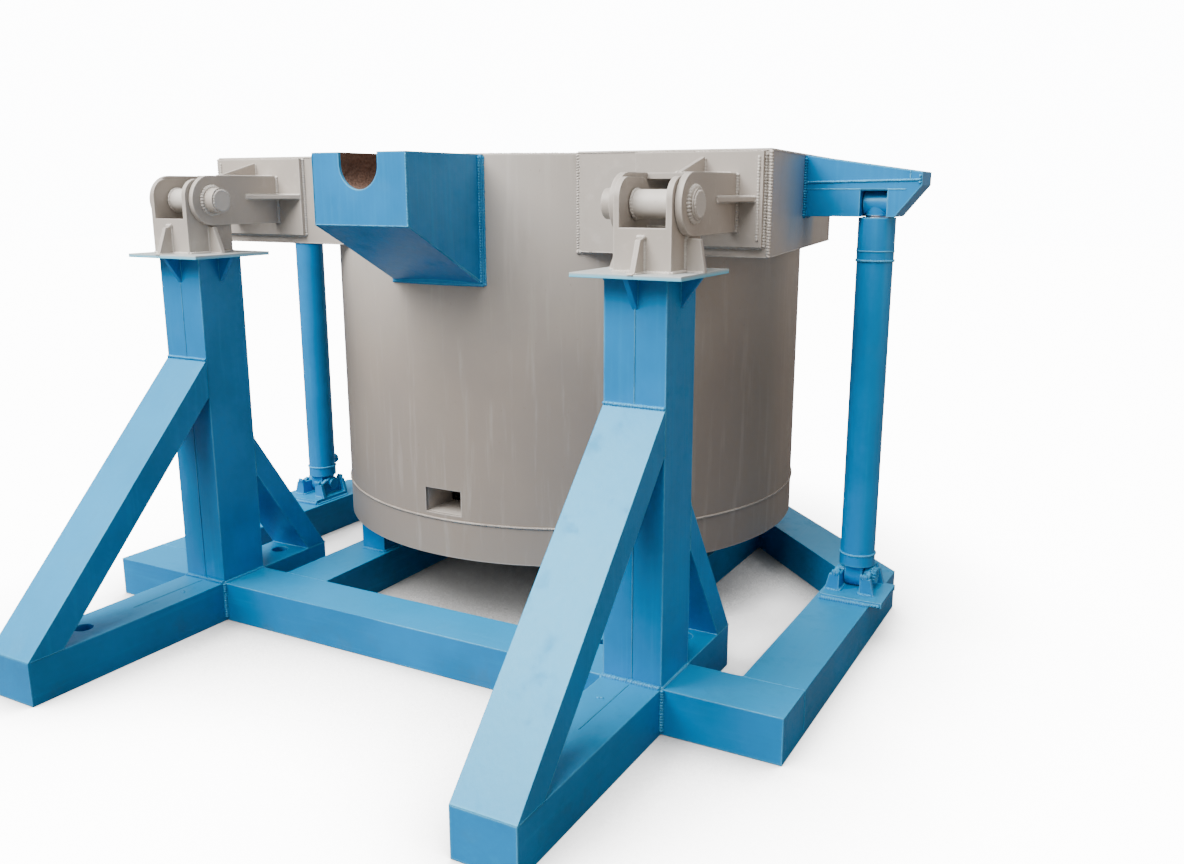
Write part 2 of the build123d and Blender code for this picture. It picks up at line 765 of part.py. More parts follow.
def induction_coil():
    """One copper tube wound in a helix round the grout."""
    height = coil_pitch * coil_turns
    path = Helix(coil_pitch, height, coil_radius)
    start = path @ 0
    section_plane = Plane(origin=start, z_dir=path % 0)
    outer = sweep(section_plane * Circle(coil_tube_d / 2), path=path)
    return Pos(0, shell_centre_y, coil_start_z) * outer


def magnetic_yokes():
    """Upright stacks of steel sheet round the coil, each held by two jack bolts from the shell."""
    pieces = []
    back = yoke_inner_radius + yoke_depth
    bolt_end = math.sqrt(shell_bore_radius**2 - (jack_bolt_d / 2) ** 2) - weld_gap
    for index in range(yoke_count):
        angle = (index + 0.5) * 360 / yoke_count
        stack = block(yoke_inner_radius, back, -yoke_width / 2, yoke_width / 2, yoke_bottom, yoke_top)
        for height in (yoke_bottom + jack_bolt_margin, yoke_top - jack_bolt_margin):
            stack += bar_x(back - 10, bolt_end, 0, height, jack_bolt_d / 2)
            stack += bar_x(back, back + jack_nut_length, 0, height, jack_bolt_d)
        pieces.append(Pos(0, shell_centre_y, 0) * Rot(0, 0, angle) * stack)
    return Compound(children=pieces)


def bottom_block():
    """Firebrick bed between the bottom plate and the crucible."""
    return disc(top_ring_radius, shell_bottom + bottom_plate_thickness, lining_bottom)


def rest_blocks():
    """Four blocks on the inner rails that the body sits on when it is upright."""
    pieces = []
    half = rest_block_width / 2
    for side_x in (-1, 1):
        for side_y in (-1, 1):
            middle_x = side_x * rest_block_x
            middle_y = shell_centre_y + side_y * rest_block_offset
            pieces.append(block(middle_x - half, middle_x + half, middle_y - rest_block_length / 2,
                                middle_y + rest_block_length / 2, beam_height, shell_bottom))
    return Compound(children=pieces)


def lift_arm():
    """Box girder on the side of the body, with a well for the rod's eye and a slot in front."""
    outline = [
        (lift_arm_root_x, wing_top),
        (lift_arm_end_x, lift_arm_end_top),
        (lift_arm_end_x, lift_arm_end_bottom),
        (lift_arm_corner_x, lift_arm_bottom),
        (lift_arm_root_x, lift_arm_bottom),
    ]
    arm = prism_y(outline, lift_arm_front_y, lift_arm_back_y)
    inner_face = lift_arm_front_y + lift_arm_wall
    left = cylinder_x - slot_half_width
    right = cylinder_x + slot_half_width
    well_top = lift_pin_z + slot_half_width + lift_arm_wall
    arm -= block(left, right, inner_face, lift_arm_back_y - lift_arm_wall, lift_arm_bottom - 1, well_top)
    arm -= block(left, right, lift_arm_front_y - 1, inner_face + 1, lift_arm_bottom - 1, slot_top)
    fall = (wing_top - lift_arm_end_top) / (lift_arm_end_x - lift_arm_root_x)
    cell_start = wing_half_width
    cell_end = left - lug_thickness
    cell = [
        (cell_start, lift_arm_bottom + lift_arm_wall),
        (cell_end, lift_arm_bottom + lift_arm_wall),
        (cell_end, wing_top - fall * (cell_end - lift_arm_root_x) - lift_arm_wall),
        (cell_start, wing_top - fall * (cell_start - lift_arm_root_x) - lift_arm_wall),
    ]
    arm -= prism_y(cell, inner_face, lift_arm_back_y - lift_arm_wall)
    arm -= bar_x(left - lug_thickness, right + lug_thickness, cylinder_y, lift_pin_z, lift_pin_d / 2)
    return arm - prism_z(wing_outline(-weld_gap), lift_arm_bottom - 1, wing_top + 1)


def lift_pin():
    end = slot_half_width + lug_thickness - pin_recess
    return bar_x(cylinder_x - end, cylinder_x + end, cylinder_y, lift_pin_z, lift_pin_d / 2)


def foot_bracket():
    """Plate welded on the outer rail with two stiffened ears for the cylinder's foot pin."""
    middle = cylinder_x + foot_plate_shift
    middle_y = cylinder_y - foot_plate_lead
    plate = block(middle - foot_plate_width / 2, middle + foot_plate_width / 2,
                  middle_y - foot_plate_length / 2, middle_y + foot_plate_length / 2,
                  beam_height, foot_plate_top)
    front = cylinder_y - foot_ear_front
    back = cylinder_y + foot_ear_back
    shoulder = foot_pin_z + foot_ear_shoulder
    for side in (-1, 1):
        near = cylinder_x + side * foot_ear_inner
        far = cylinder_x + side * foot_ear_outer
        low, high = min(near, far), max(near, far)
        plate += block(low, high, front, back, foot_plate_top, shoulder)
        plate += bar_x(low, high, cylinder_y, foot_pin_z, foot_ear_radius)
        outline = [
            (far, foot_plate_top),
            (far + side * foot_stiffener_foot, foot_plate_top),
            (far + side * foot_stiffener_head, shoulder),
            (far, shoulder),
        ]
        plate += prism_y(outline, front, front + foot_stiffener_thickness)
        plate += prism_y(outline, back - foot_stiffener_thickness, back)
    end = foot_ear_outer + 1
    return plate - bar_x(cylinder_x - end, cylinder_x + end, cylinder_y, foot_pin_z, lift_pin_d / 2)


def foot_pin():
    end = foot_ear_outer + foot_pin_overhang
    return bar_x(cylinder_x - end, cylinder_x + end, cylinder_y, foot_pin_z, lift_pin_d / 2)


def barrel():
    """Outer tube of the cylinder with its foot eye, closed floor, gland and oil port."""
    tube = bar_z(cylinder_x, cylinder_y, barrel_bottom, gland_top, barrel_od / 2)
    tube += bar_z(cylinder_x, cylinder_y, gland_bottom, gland_top, gland_od / 2)
    tube += bar_z(cylinder_x, cylinder_y, barrel_bottom, barrel_bottom + foot_ring_length, gland_od / 2)
    half = foot_eye_width / 2
    tube += bar_x(cylinder_x - half, cylinder_x + half, cylinder_y, foot_pin_z, foot_eye_radius)
    tube += block(cylinder_x - half, cylinder_x + half, cylinder_y - foot_eye_radius,
                  cylinder_y + foot_eye_radius, foot_pin_z, barrel_bottom + 2)
    floor_z = barrel_bottom + barrel_floor
    tube -= bar_z(cylinder_x, cylinder_y, floor_z, gland_bottom, barrel_bore / 2)
    tube -= bar_z(cylinder_x, cylinder_y, gland_bottom, gland_top, sleeve_od / 2 + running_clearance)
    tube -= bar_x(cylinder_x - half, cylinder_x + half, cylinder_y, foot_pin_z,
                  lift_pin_d / 2 + running_clearance)
    port_end = cylinder_y + barrel_od / 2 + port_boss_length
    tube += bar_y(cylinder_x, cylinder_y + barrel_od / 2 - 6, port_end, port_z, port_boss_d / 2)
    tube -= bar_y(cylinder_x, port_end - port_depth, port_end, port_z, port_bore_d / 2)
    return tube - bar_y(cylinder_x, cylinder_y, port_end, port_z, port_passage_d / 2)


def sleeve():
    """Middle stage: guided by the gland above and by its own piston ring below."""
    low = barrel_bottom + barrel_floor
    high = gland_top + sleeve_head
    stage = bar_z(cylinder_x, cylinder_y, low, high, sleeve_od / 2)
    piston_foot = low + sleeve_skirt
    stage += bar_z(cylinder_x, cylinder_y, piston_foot, piston_foot + piston_length,
                   barrel_bore / 2 - running_clearance)
    stage -= bar_z(cylinder_x, cylinder_y, low + barrel_floor, high, sleeve_bore / 2)
    head = bar_z(cylinder_x, cylinder_y, high - sleeve_bearing, high, sleeve_bore / 2)
    head -= bar_z(cylinder_x, cylinder_y, high - sleeve_bearing, high, rod_d / 2 + running_clearance)
    return stage + head


def rod():
    """Inner stage: chromed bar with a piston."""
    low = barrel_bottom + 2 * barrel_floor
    bar = bar_z(cylinder_x, cylinder_y, low, rod_top, rod_d / 2)
    return bar + bar_z(cylinder_x, cylinder_y, low, low + piston_length, sleeve_bore / 2 - running_clearance)


def rod_end():
    """Eye on the lift pin; its flat foot rests on the rod's end."""
    half = rod_eye_width / 2
    eye = bar_x(cylinder_x - half, cylinder_x + half, cylinder_y, lift_pin_z, rod_eye_radius)
    shank = bar_z(cylinder_x, cylinder_y, rod_top, lift_pin_z, rod_d / 2)
    hole = bar_x(cylinder_x - half, cylinder_x + half, cylinder_y, lift_pin_z,
                 lift_pin_d / 2 + running_clearance)
    above_foot = block(cylinder_x - half, cylinder_x + half, cylinder_y - rod_eye_radius,
                       cylinder_y + rod_eye_radius, rod_top, lift_pin_z + rod_eye_radius)
    return (eye & above_foot) + shank - hole


def write(shape, name):
    export_step(shape, f"parts/{name}.step")


def write_pair(shape, name):
    write(shape, f"{name}_right")
    write(to_left(shape), f"{name}_left")


os.makedirs("parts", exist_ok=True)

write(front_cross_beam(), "front_cross_beam")
write(rear_cross_beam(), "rear_cross_beam")
write_pair(outer_rail(), "outer_rail")
write_pair(inner_rail(), "inner_rail")
write_pair(rear_diagonal(), "rear_diagonal")
write_pair(front_foot(), "front_foot")
write_pair(rear_foot(), "rear_foot")
write_pair(post(), "post")
write_pair(front_brace(), "front_brace")
write_pair(rear_brace(), "rear_brace")
write_pair(post_cap(), "post_cap")
write_pair(pedestal(), "pedestal")
bushes = [trunnion_bush(side, ear) for side in (-1, 1) for ear in (-1, 1)]
write(Compound(children=bushes), "trunnion_bushes")
write(rest_blocks(), "rest_blocks")
write_pair(foot_bracket(), "foot_bracket")
write(Compound(children=[foot_pin(), to_left(foot_pin())]), "foot_pins")

write(furnace_shell(), "furnace_shell")
write(shell_base(), "shell_base")
write(window_frame(), "window_frame")
write(top_cover(), "top_cover")
write_pair(wing_box(), "wing_box")
write(Compound(children=[trunnion_plate(), to_left(trunnion_plate())]), "trunnion_plates")
for side, place in ((-1, "inner"), (1, "outer")):
    write_pair(trunnion_arm(side), f"trunnion_arm_{place}")
write_pair(arm_bracing(), "arm_bracing")
pins = [trunnion_pin(), pin_spacer(), to_left(trunnion_pin()), to_left(pin_spacer())]
write(Compound(children=pins), "trunnion_pins")
write(spout_shell(), "spout_shell")
write(spout_lining(), "spout_lining")
write(top_ring(), "top_ring")
write(crucible_lining(), "crucible_lining")
write(coil_grout(), "coil_grout")
write(induction_coil(), "induction_coil")
write(magnetic_yokes(), "magnetic_yokes")
write(bottom_block(), "bottom_block")
write_pair(lift_arm(), "lift_arm")
write(Compound(children=[lift_pin(), to_left(lift_pin())]), "lift_pins")

write_pair(barrel(), "barrel")
write_pair(sleeve(), "sleeve")
write_pair(rod(), "rod")
write_pair(rod_end(), "rod_end")
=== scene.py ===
import math

import bpy
from mathutils import Matrix, Vector


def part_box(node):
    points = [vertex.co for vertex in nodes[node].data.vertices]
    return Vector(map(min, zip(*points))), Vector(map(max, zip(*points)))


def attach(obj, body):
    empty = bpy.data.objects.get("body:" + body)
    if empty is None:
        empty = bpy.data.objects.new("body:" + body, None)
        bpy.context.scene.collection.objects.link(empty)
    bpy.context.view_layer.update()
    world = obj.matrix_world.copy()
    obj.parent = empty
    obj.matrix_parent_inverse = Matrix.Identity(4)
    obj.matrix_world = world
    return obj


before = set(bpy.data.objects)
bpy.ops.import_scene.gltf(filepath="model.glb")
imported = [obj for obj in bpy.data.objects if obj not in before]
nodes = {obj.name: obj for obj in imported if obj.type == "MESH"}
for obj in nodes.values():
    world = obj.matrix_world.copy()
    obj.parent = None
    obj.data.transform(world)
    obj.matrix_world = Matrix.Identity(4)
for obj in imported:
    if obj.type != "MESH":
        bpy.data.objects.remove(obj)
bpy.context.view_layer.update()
bpy.ops.object.select_all(action="DESELECT")
print("frame loaded,", len(nodes), "nodes")


class Wire:                                       # a node's output, usable in sums
    def __init__(self, sheet, socket):
        self.sheet, self.socket = sheet, socket

    def math(self, operation, first, second):
        return self.sheet.put("ShaderNodeMath", {"operation": operation}, {0: first, 1: second})

    def __add__(self, other):
        return self.math("ADD", self, other)

    def __radd__(self, other):
        return self.math("ADD", other, self)

    def __sub__(self, other):
        return self.math("SUBTRACT", self, other)

    def __rsub__(self, other):
        return self.math("SUBTRACT", other, self)

    def __mul__(self, other):
        return self.math("MULTIPLY", self, other)

    def __pow__(self, other):
        return self.math("POWER", self, other)


class Sheet:                                      # the nodes of one finish
    def __init__(self, name):
        self.material = bpy.data.materials.new(name)
        self.material.use_nodes = True
        self.tree = self.material.node_tree
        self.tree.nodes.clear()
        self.place = self.put("ShaderNodeTexCoord", output="Object")

    def put(self, kind, settings=None, sockets=None, output=0):
        node = self.tree.nodes.new(kind)
        for name, value in (settings or {}).items():
            setattr(node, name, value)
        for name, value in (sockets or {}).items():
            if isinstance(value, Wire):
                self.tree.links.new(value.socket, node.inputs[name])
            else:
                node.inputs[name].default_value = value
        return Wire(self, node.outputs[output]) if len(node.outputs) else None

    def stretched(self, scale, turn=(0, 0, 0)):
        return self.put("ShaderNodeMapping", None, {"Vector": self.place, "Rotation": turn, "Scale": scale})

    def noise(self, scale, detail=3.0, rough=0.5, at=None):
        return self.put("ShaderNodeTexNoise", None,
                        {"Vector": at or self.place, "Scale": scale, "Detail": detail, "Roughness": rough})

    def between(self, value, low, high):          # 0 below low, 1 above high, smooth in between
        return self.put("ShaderNodeMapRange", {"interpolation_type": "SMOOTHSTEP"},
                        {"Value": value, "From Min": low, "From Max": high})

    def mixed(self, share, first, second):        # two colours
        return self.put("ShaderNodeMix", {"data_type": "RGBA"}, {0: share, 6: first, 7: second}, output=2)

    def edges(self, width):                       # near an edge, found from a rounded normal
        rounded = self.put("ShaderNodeBevel", {"samples": 6}, {"Radius": width})
        flat = self.put("ShaderNodeNewGeometry", output="Normal")
        along = self.put("ShaderNodeVectorMath", {"operation": "DOT_PRODUCT"}, {0: rounded, 1: flat}, output="Value")
        return self.between(1 - along, 0.01, 0.16)

    def height(self):
        return self.put("ShaderNodeSeparateXYZ", None, {0: self.place}, output="Z")

    def facing(self, axis):                       # the normal's share along X, Y or Z
        normal = self.put("ShaderNodeNewGeometry", output="Normal")
        return self.put("ShaderNodeSeparateXYZ", None, {0: normal}, output=axis)

    def bumped(self, relief, depth, rounding):
        edge = self.put("ShaderNodeBevel", {"samples": 6}, {"Radius": rounding})
        sockets = {"Height": relief, "Distance": depth, "Strength": 1.0, "Normal": edge}
        return self.put("ShaderNodeBump", None, sockets)

    def finish(self, colour, rough, normal, metal=0.0, **fixed):
        sockets = {"Base Color": colour, "Roughness": rough, "Normal": normal, "Metallic": metal}
        sockets.update(fixed)
        shader = self.put("ShaderNodeBsdfPrincipled", None, sockets)
        self.put("ShaderNodeOutputMaterial", None, {"Surface": shader})
        return self.material


def rgb(red, green, blue):                        # from screen values to the shader's
    return tuple(((v / 255 + 0.055) / 1.055) ** 2.4 if v > 10 else v / 3295 for v in (red, green, blue)) + (1.0,)


enamel = {
    "deep": rgb(0, 113, 172),
    "body": rgb(0, 125, 190),
    "thin": rgb(0, 146, 206),                     # where the brush left little paint
    # the lighter edge tone: partly worn paint, partly a painted highlight
    "edge": rgb(110, 196, 226),
    "level": rgb(0, 148, 196),                    # faces that look up: a painted highlight, lighter and more cyan as if lit by the sky
    "sheen": (0.45, 0.92, 1.0, 1.0),
    "dirt": rgb(84, 92, 92),
    "shade": rgb(4, 30, 60),
    "strokesAcross": 70.0,
    "strokesAlong": 3.0,
    "edgeWearAndHighlight": 0.011,                                # width of the lighter edges: partly worn paint, partly a painted highlight
    "splash": 0.16,                               # how high dirt gathers
    "rough": 0.24,
    "relief": 0.0012,
    "rounding": 0.004,
}


def blueEnamel(name, turn=(0, 0, 0), along="z", dark=1.0):
    sheet = Sheet(name)
    across, length = enamel["strokesAcross"], enamel["strokesAlong"]
    scale = {"x": (length, across, across), "y": (across, length, across), "z": (across, across, length)}[along]
    strokes = sheet.noise(1.0, 4.0, 0.6, sheet.stretched(scale, turn))
    patches = sheet.noise(2.6, 4.0, 0.55)
    fine = sheet.noise(260.0, 2.0, 0.6)
    runs = sheet.noise(1.0, 2.0, 0.5, sheet.stretched(tuple(v * 0.25 for v in scale), turn))
    edge = sheet.edges(enamel["edgeWearAndHighlight"])
    tone = sheet.mixed(sheet.between(patches, 0.34, 0.66), enamel["deep"], enamel["body"])
    tone = sheet.mixed(sheet.between(strokes * 0.6 + runs * 0.4, 0.50, 0.70) * 0.26, tone, enamel["thin"])
    # lighter along the edges: partly wear, partly a painted highlight
    tone = sheet.mixed(edge * sheet.between(patches + fine * 0.3, 0.5, 0.75) * 0.6, tone, enamel["edge"])
    # painted highlight on the tops, as sky light would give; the same mask lets a little dust settle there
    level = sheet.between(sheet.facing("Z"), 0.3, 0.9)
    tone = sheet.mixed(level * 0.6, tone, enamel["level"])
    low = 1 - sheet.between(sheet.height(), 0.0, enamel["splash"])
    grime = sheet.between(sheet.noise(9.0, 6.0, 0.65), 0.52, 0.72)
    tone = sheet.mixed(grime * (low * 0.22 + level * 0.06 + 0.03), tone, enamel["dirt"])
    if dark != 1.0:
        tone = sheet.mixed(1 - dark, tone, enamel["shade"])
    rough = enamel["rough"] + patches * 0.14 + strokes * 0.12 + grime * 0.15
    relief = strokes * 0.35 + runs * 0.5 + fine * 0.08 + sheet.noise(3.2, 2.0, 0.4) * 3.0
    normal = sheet.bumped(relief, enamel["relief"], enamel["rounding"])
    return sheet.finish(tone, rough, normal, **{"Specular IOR Level": 0.8, "Specular Tint": enamel["sheen"]})


greyPaint = {
    "warm": rgb(156, 145, 134),
    "cool": rgb(146, 137, 129),
    "light": rgb(208, 202, 194),
    "stain": rgb(124, 108, 94),
    "lower": rgb(128, 117, 107),                  # painted shade at the shell's foot
    "footFade": 0.25,                             # height where the foot's shade starts to go
    # width of the paler edges: partly worn paint, partly a painted highlight
    "edgeWearAndHighlight": 0.010,
    "line": (0.003, 0.016),                       # a paint line's width below and above its height
    "rough": 0.30,
    "relief": 0.0012,
    "rounding": 0.004,
}
armReflection = {                                     # painted reflection of the blue lift arm on the wing box's side
    "along": (-0.16, 0.34),
    "end": (0.48, 0.60),
    "rise": (1.42, 1.60),
    "share": 0.8,
    "tint": rgb(84, 138, 178),
}


def greyEnamel(name, scale=(30.0, 30.0, 2.5), pale=0.0, dents=3.0, stains=1.0, paintedLightHeights=None, blueBelow=None,
               paintedReflection=None):
    sheet = Sheet(name)
    strokes = sheet.noise(1.0, 4.0, 0.6, sheet.stretched(scale))
    patches = sheet.noise(1.9, 5.0, 0.6)
    fine = sheet.noise(240.0, 2.0, 0.6)
    smears = sheet.noise(1.0, 5.0, 0.65, sheet.stretched((7.0, 7.0, 2.2)))
    edge = sheet.edges(greyPaint["edgeWearAndHighlight"])
    tone = sheet.mixed(sheet.between(patches, 0.36, 0.64), greyPaint["cool"], greyPaint["warm"])
    if paintedLightHeights:                                     # painted light: paler towards the top; painted shade: darker and browner at the foot
        pale = sheet.between(sheet.height(), *paintedLightHeights) * pale
        foot = 1 - sheet.between(sheet.height(), greyPaint["footFade"], paintedLightHeights[1])
        tone = sheet.mixed(foot * 0.75, tone, greyPaint["lower"])
    tone = sheet.mixed(sheet.between(strokes, 0.52, 0.74) * 0.13 + pale, tone, greyPaint["light"])
    tone = sheet.mixed(sheet.between(smears, 0.56, 0.76) * 0.22 * stains, tone, greyPaint["stain"])
    speck = sheet.between(sheet.noise(75.0, 2.0, 0.5), 0.70, 0.78)
    tone = sheet.mixed(speck * 0.30 * stains, tone, greyPaint["stain"])
    # paler along the edges: partly wear, partly a painted highlight
    tone = sheet.mixed(edge * sheet.between(patches + fine * 0.3, 0.45, 0.75) * 0.65, tone, greyPaint["light"])
    # painted reflection of the lift arm: a blue tint on the box's side faces
    if paintedReflection:
        cloud = sheet.noise(7.0, 3.0, 0.5)
        reach = sheet.put("ShaderNodeSeparateXYZ", None, {0: sheet.place}, output="Y")
        reflectionShare = sheet.between(reach + cloud * 0.12, *paintedReflection["along"]) * (1 - sheet.between(reach, *paintedReflection["end"]))
        reflectionShare = reflectionShare * sheet.between(sheet.height() + cloud * 0.1, *paintedReflection["rise"]) * (1 - sheet.facing("Z"))
        tone = sheet.mixed(reflectionShare * paintedReflection["share"], tone, paintedReflection["tint"])
    if blueBelow:
        below, above = greyPaint["line"]
        tone = sheet.mixed(sheet.between(sheet.height(), blueBelow, blueBelow + above), enamel["edge"], tone)
        tone = sheet.mixed(sheet.between(sheet.height(), blueBelow - below, blueBelow), enamel["body"], tone)
    rough = greyPaint["rough"] + patches * 0.12 + strokes * 0.10 + smears * 0.08
    relief = strokes * 0.45 + fine * 0.10 + sheet.noise(2.4, 2.0, 0.4) * dents
    normal = sheet.bumped(relief, greyPaint["relief"], greyPaint["rounding"])
    return sheet.finish(tone, rough, normal, **{"Specular IOR Level": 0.42})


def rammedLining(name, base, dark, light):
    sheet = Sheet(name)
    grains = sheet.put("ShaderNodeTexVoronoi", None, {"Vector": sheet.place, "Scale": 95.0, "Randomness": 1.0})
    coarse = sheet.noise(14.0, 7.0, 0.65)
    cloud = sheet.noise(4.0, 4.0, 0.5)
    tone = sheet.mixed(sheet.between(coarse, 0.38, 0.66), dark, base)
    tone = sheet.mixed(sheet.between(grains, 0.28, 0.52) * 0.18, tone, light)
    tone = sheet.mixed(sheet.between(cloud, 0.52, 0.70) * 0.4, tone, dark)
    rough = 0.82 + coarse * 0.14
    relief = coarse * 1.6 + grains * 0.5
    normal = sheet.bumped(relief, depth=0.006, rounding=0.004)
    return sheet.finish(tone, rough, normal, **{"Specular IOR Level": 0.3})


def bareMetal(name, base, dark, rough, scale, metal=1.0, painted=None):      # scale stretches the tool marks
    sheet = Sheet(name)
    lines = sheet.noise(1.0, 5.0, 0.7, sheet.stretched(scale))
    cloud = sheet.noise(18.0, 4.0, 0.6)
    edge = sheet.edges(width=0.004)
    tone = sheet.mixed(sheet.between(cloud, 0.42, 0.68) * 0.6, base, dark)
    # lighter along the edges: a painted highlight
    tone = sheet.mixed(edge * 0.5, tone, tuple(min(1.0, v * 1.35) for v in base[:3]) + (1.0,))
    if painted:                                   # paint on the faces across one axis
        axis, colour = painted
        ends = sheet.between(sheet.facing(axis) * sheet.facing(axis), 0.7, 0.9)
        tone = sheet.mixed(ends, tone, colour)
        metal = (1 - ends) * metal
    normal = sheet.bumped(lines, depth=0.0003, rounding=0.0015)
    return sheet.finish(tone, rough + lines * 0.14 + cloud * 0.08, normal, metal=metal)


braceTurn = {"front": math.radians(-43.1), "rear": math.radians(33.5)}
plateStrokes, capStrokes = (22.0, 30.0, 26.0), (26.0, 26.0, 30.0)
finishes = {
    "blueX": blueEnamel("blueAlongX", along="x"),
    "blueY": blueEnamel("blueAlongY", along="y"),
    "blueZ": blueEnamel("blueAlongZ", along="z"),
    "blueFront": blueEnamel("blueFrontBrace", turn=(braceTurn["front"], 0, 0)),
    "blueRear": blueEnamel("blueRearBrace", turn=(braceTurn["rear"], 0, 0)),
    "blueSeam": blueEnamel("blueSeam", dark=0.72),
    "greyShell": greyEnamel("greyShell", pale=0.52, paintedLightHeights=(0.9, 1.65)),
    "greyPlate": greyEnamel("greyPlate", plateStrokes, pale=0.32, dents=1.6, stains=0.7),
    "greyBox": greyEnamel("greyBox", plateStrokes, pale=0.32, dents=1.6, stains=0.7, paintedReflection=armReflection),
    "greyPale": greyEnamel("greyPale", capStrokes, pale=0.82, dents=0.8, stains=0.4),
    "greyCap": greyEnamel("greyCap", capStrokes, pale=0.62, dents=0.8, stains=0.4, blueBelow=1.385),
    "rammed": rammedLining("rammedLining", rgb(106, 80, 66), rgb(92, 69, 57), rgb(122, 98, 84)),
    "castable": rammedLining("castableRing", rgb(160, 150, 136), rgb(112, 102, 92), rgb(196, 188, 176)),
    "chrome": bareMetal("hardChrome", rgb(176, 178, 182), rgb(150, 152, 156), rough=0.12, scale=(4.0, 4.0, 320.0),
                        painted=("Z", rgb(24, 84, 124))),
    "bronze": bareMetal("bearingBronze", rgb(176, 128, 66), rgb(120, 84, 44), rough=0.26, scale=(260.0, 12.0, 12.0),
                        painted=("X", rgb(176, 168, 158))),
    "turned": bareMetal("turnedSteel", rgb(150, 150, 152), rgb(98, 96, 94), rough=0.28, scale=(300.0, 10.0, 10.0)),
    "copper": bareMetal("bareCopper", rgb(198, 118, 78), rgb(120, 70, 48), rough=0.24, scale=(20.0, 20.0, 160.0)),
    "yoke": bareMetal("varnishedYoke", rgb(72, 74, 80), rgb(44, 44, 48), rough=0.42, scale=(200.0, 200.0, 3.0),
                      metal=0.7),
}
wearers = {                                       # what each finish goes on, by the start of the node's name
    "blueX": ["front_cross_beam", "rear_cross_beam"],
    "blueY": ["outer_rail", "inner_rail", "rear_diagonal", "front_foot", "rear_foot", "rest_blocks", "foot_bracket",
              "foot_pins"],
    "blueZ": ["post", "lift_arm", "spout_shell", "barrel", "rod_end"],
    "blueFront": ["front_brace"],
    "blueRear": ["rear_brace"],
    "greyShell": ["furnace_shell", "shell_base"],
    "greyBox": ["wing_box"],
    "greyPlate": ["top_cover", "window_frame", "trunnion_plates", "arm_bracing", "trunnion_arm", "pedestal"],
    "greyPale": ["trunnion_pins"],
    "greyCap": ["post_cap"],
    "rammed": ["spout_lining", "crucible_lining", "coil_grout"],
    "castable": ["top_ring", "bottom_block"],
    "chrome": ["sleeve", "rod_right", "rod_left"],
    "bronze": ["trunnion_bushes"],
    "turned": ["lift_pins"],
    "copper": ["induction_coil"],
    "yoke": ["magnetic_yokes"],
}
for finish, starts in wearers.items():
    for name, node in nodes.items():
        if name.startswith(tuple(starts)):
            if not node.material_slots:
                node.data.materials.append(None)
            for place in node.material_slots:
                place.material = finishes[finish]
bare = [name for name, node in nodes.items() if node.material_slots[0].material not in finishes.values()]
print("finishes made,", len(bare), "nodes without one", bare)

weld = {
    "pitch": 0.009,                               # from one ripple to the next
    "lean": 16.0,
    "shape": (0.70, 0.5, 1.0),                    # of one ripple, in pitches, widths and heights
    "cut": -0.35,                                 # where its underside is flat
    "uneven": 0.0016,
    "seamShare": 0.3,                             # a seam's unevenness against the others'
    "sizes": {"seam": (0.006, 0.0018), "small": (0.010, 0.005), "fillet": (0.015, 0.009), "heavy": (0.021, 0.013),
              "lump": (0.020, 0.017)},
}


def only(thing):                                  # selects one object
    bpy.ops.object.select_all(action="DESELECT")
    thing.select_set(True)
    bpy.context.view_layer.objects.active = thing


def modelRipple():
    bpy.ops.object.select_all(action="DESELECT")
    bpy.ops.mesh.primitive_uv_sphere_add(segments=8, ring_count=5, radius=1.0)
    ripple = bpy.context.object
    bpy.ops.object.mode_set(mode="EDIT")
    bpy.ops.mesh.select_all(action="SELECT")
    bpy.ops.transform.resize(value=weld["shape"])
    bpy.ops.mesh.bisect(plane_co=(0, 0, weld["cut"]), plane_no=(0, 0, 1), use_fill=True, clear_inner=True)
    bpy.ops.mesh.select_all(action="SELECT")
    bpy.ops.transform.rotate(value=math.radians(weld["lean"]), orient_axis="Y", center_override=(0, 0, 0))
    bpy.ops.object.mode_set(mode="OBJECT")
    bpy.ops.object.shade_smooth()
    ripple.name = "ripple"
    return ripple


ripple = modelRipple()
lineCount = [0]


def newRow(size, count, step=None, hub=None):     # a row of ripples, along X or round a hub
    width, proud = weld["sizes"][size]
    row = ripple.copy()
    row.data = ripple.data.copy()
    bpy.context.collection.objects.link(row)
    only(row)
    row.data.transform(Matrix.Diagonal((weld["pitch"], width, proud, 1.0)))
    if hub is not None:
        row.data.transform(hub["start"])
    run = row.modifiers.new("run", "ARRAY")
    run.count = count
    run.use_relative_offset = False
    if hub is None:
        run.use_constant_offset = True
        run.constant_offset_displace = (step, 0, 0)
    else:
        run.use_object_offset = True
        run.offset_object = hub["empty"]
        bpy.context.view_layer.update()
    bpy.ops.object.modifier_apply(modifier="run")
    bpy.ops.object.mode_set(mode="EDIT")
    bpy.ops.mesh.select_all(action="SELECT")
    lineCount[0] += 1
    uneven = weld["uneven"] * (weld["seamShare"] if size == "seam" else 1.0)
    bpy.ops.transform.vertex_random(offset=uneven, seed=lineCount[0])
    bpy.ops.object.mode_set(mode="OBJECT")
    return row


def straightWeld(start, end, outwards, size):
    start, end = Vector(start), Vector(end)
    way = end - start
    count = max(2, round(way.length / weld["pitch"]))
    row = newRow(size, count, way.length / count)
    along = way.normalized()
    out = Vector(outwards).normalized()
    out = (out - along * out.dot(along)).normalized()
    side = out.cross(along)
    first = start + way / count / 2
    row.data.transform(Matrix((
        (along.x, side.x, out.x, first.x),
        (along.y, side.y, out.y, first.y),
        (along.z, side.z, out.z, first.z),
        (0, 0, 0, 1))))
    return row


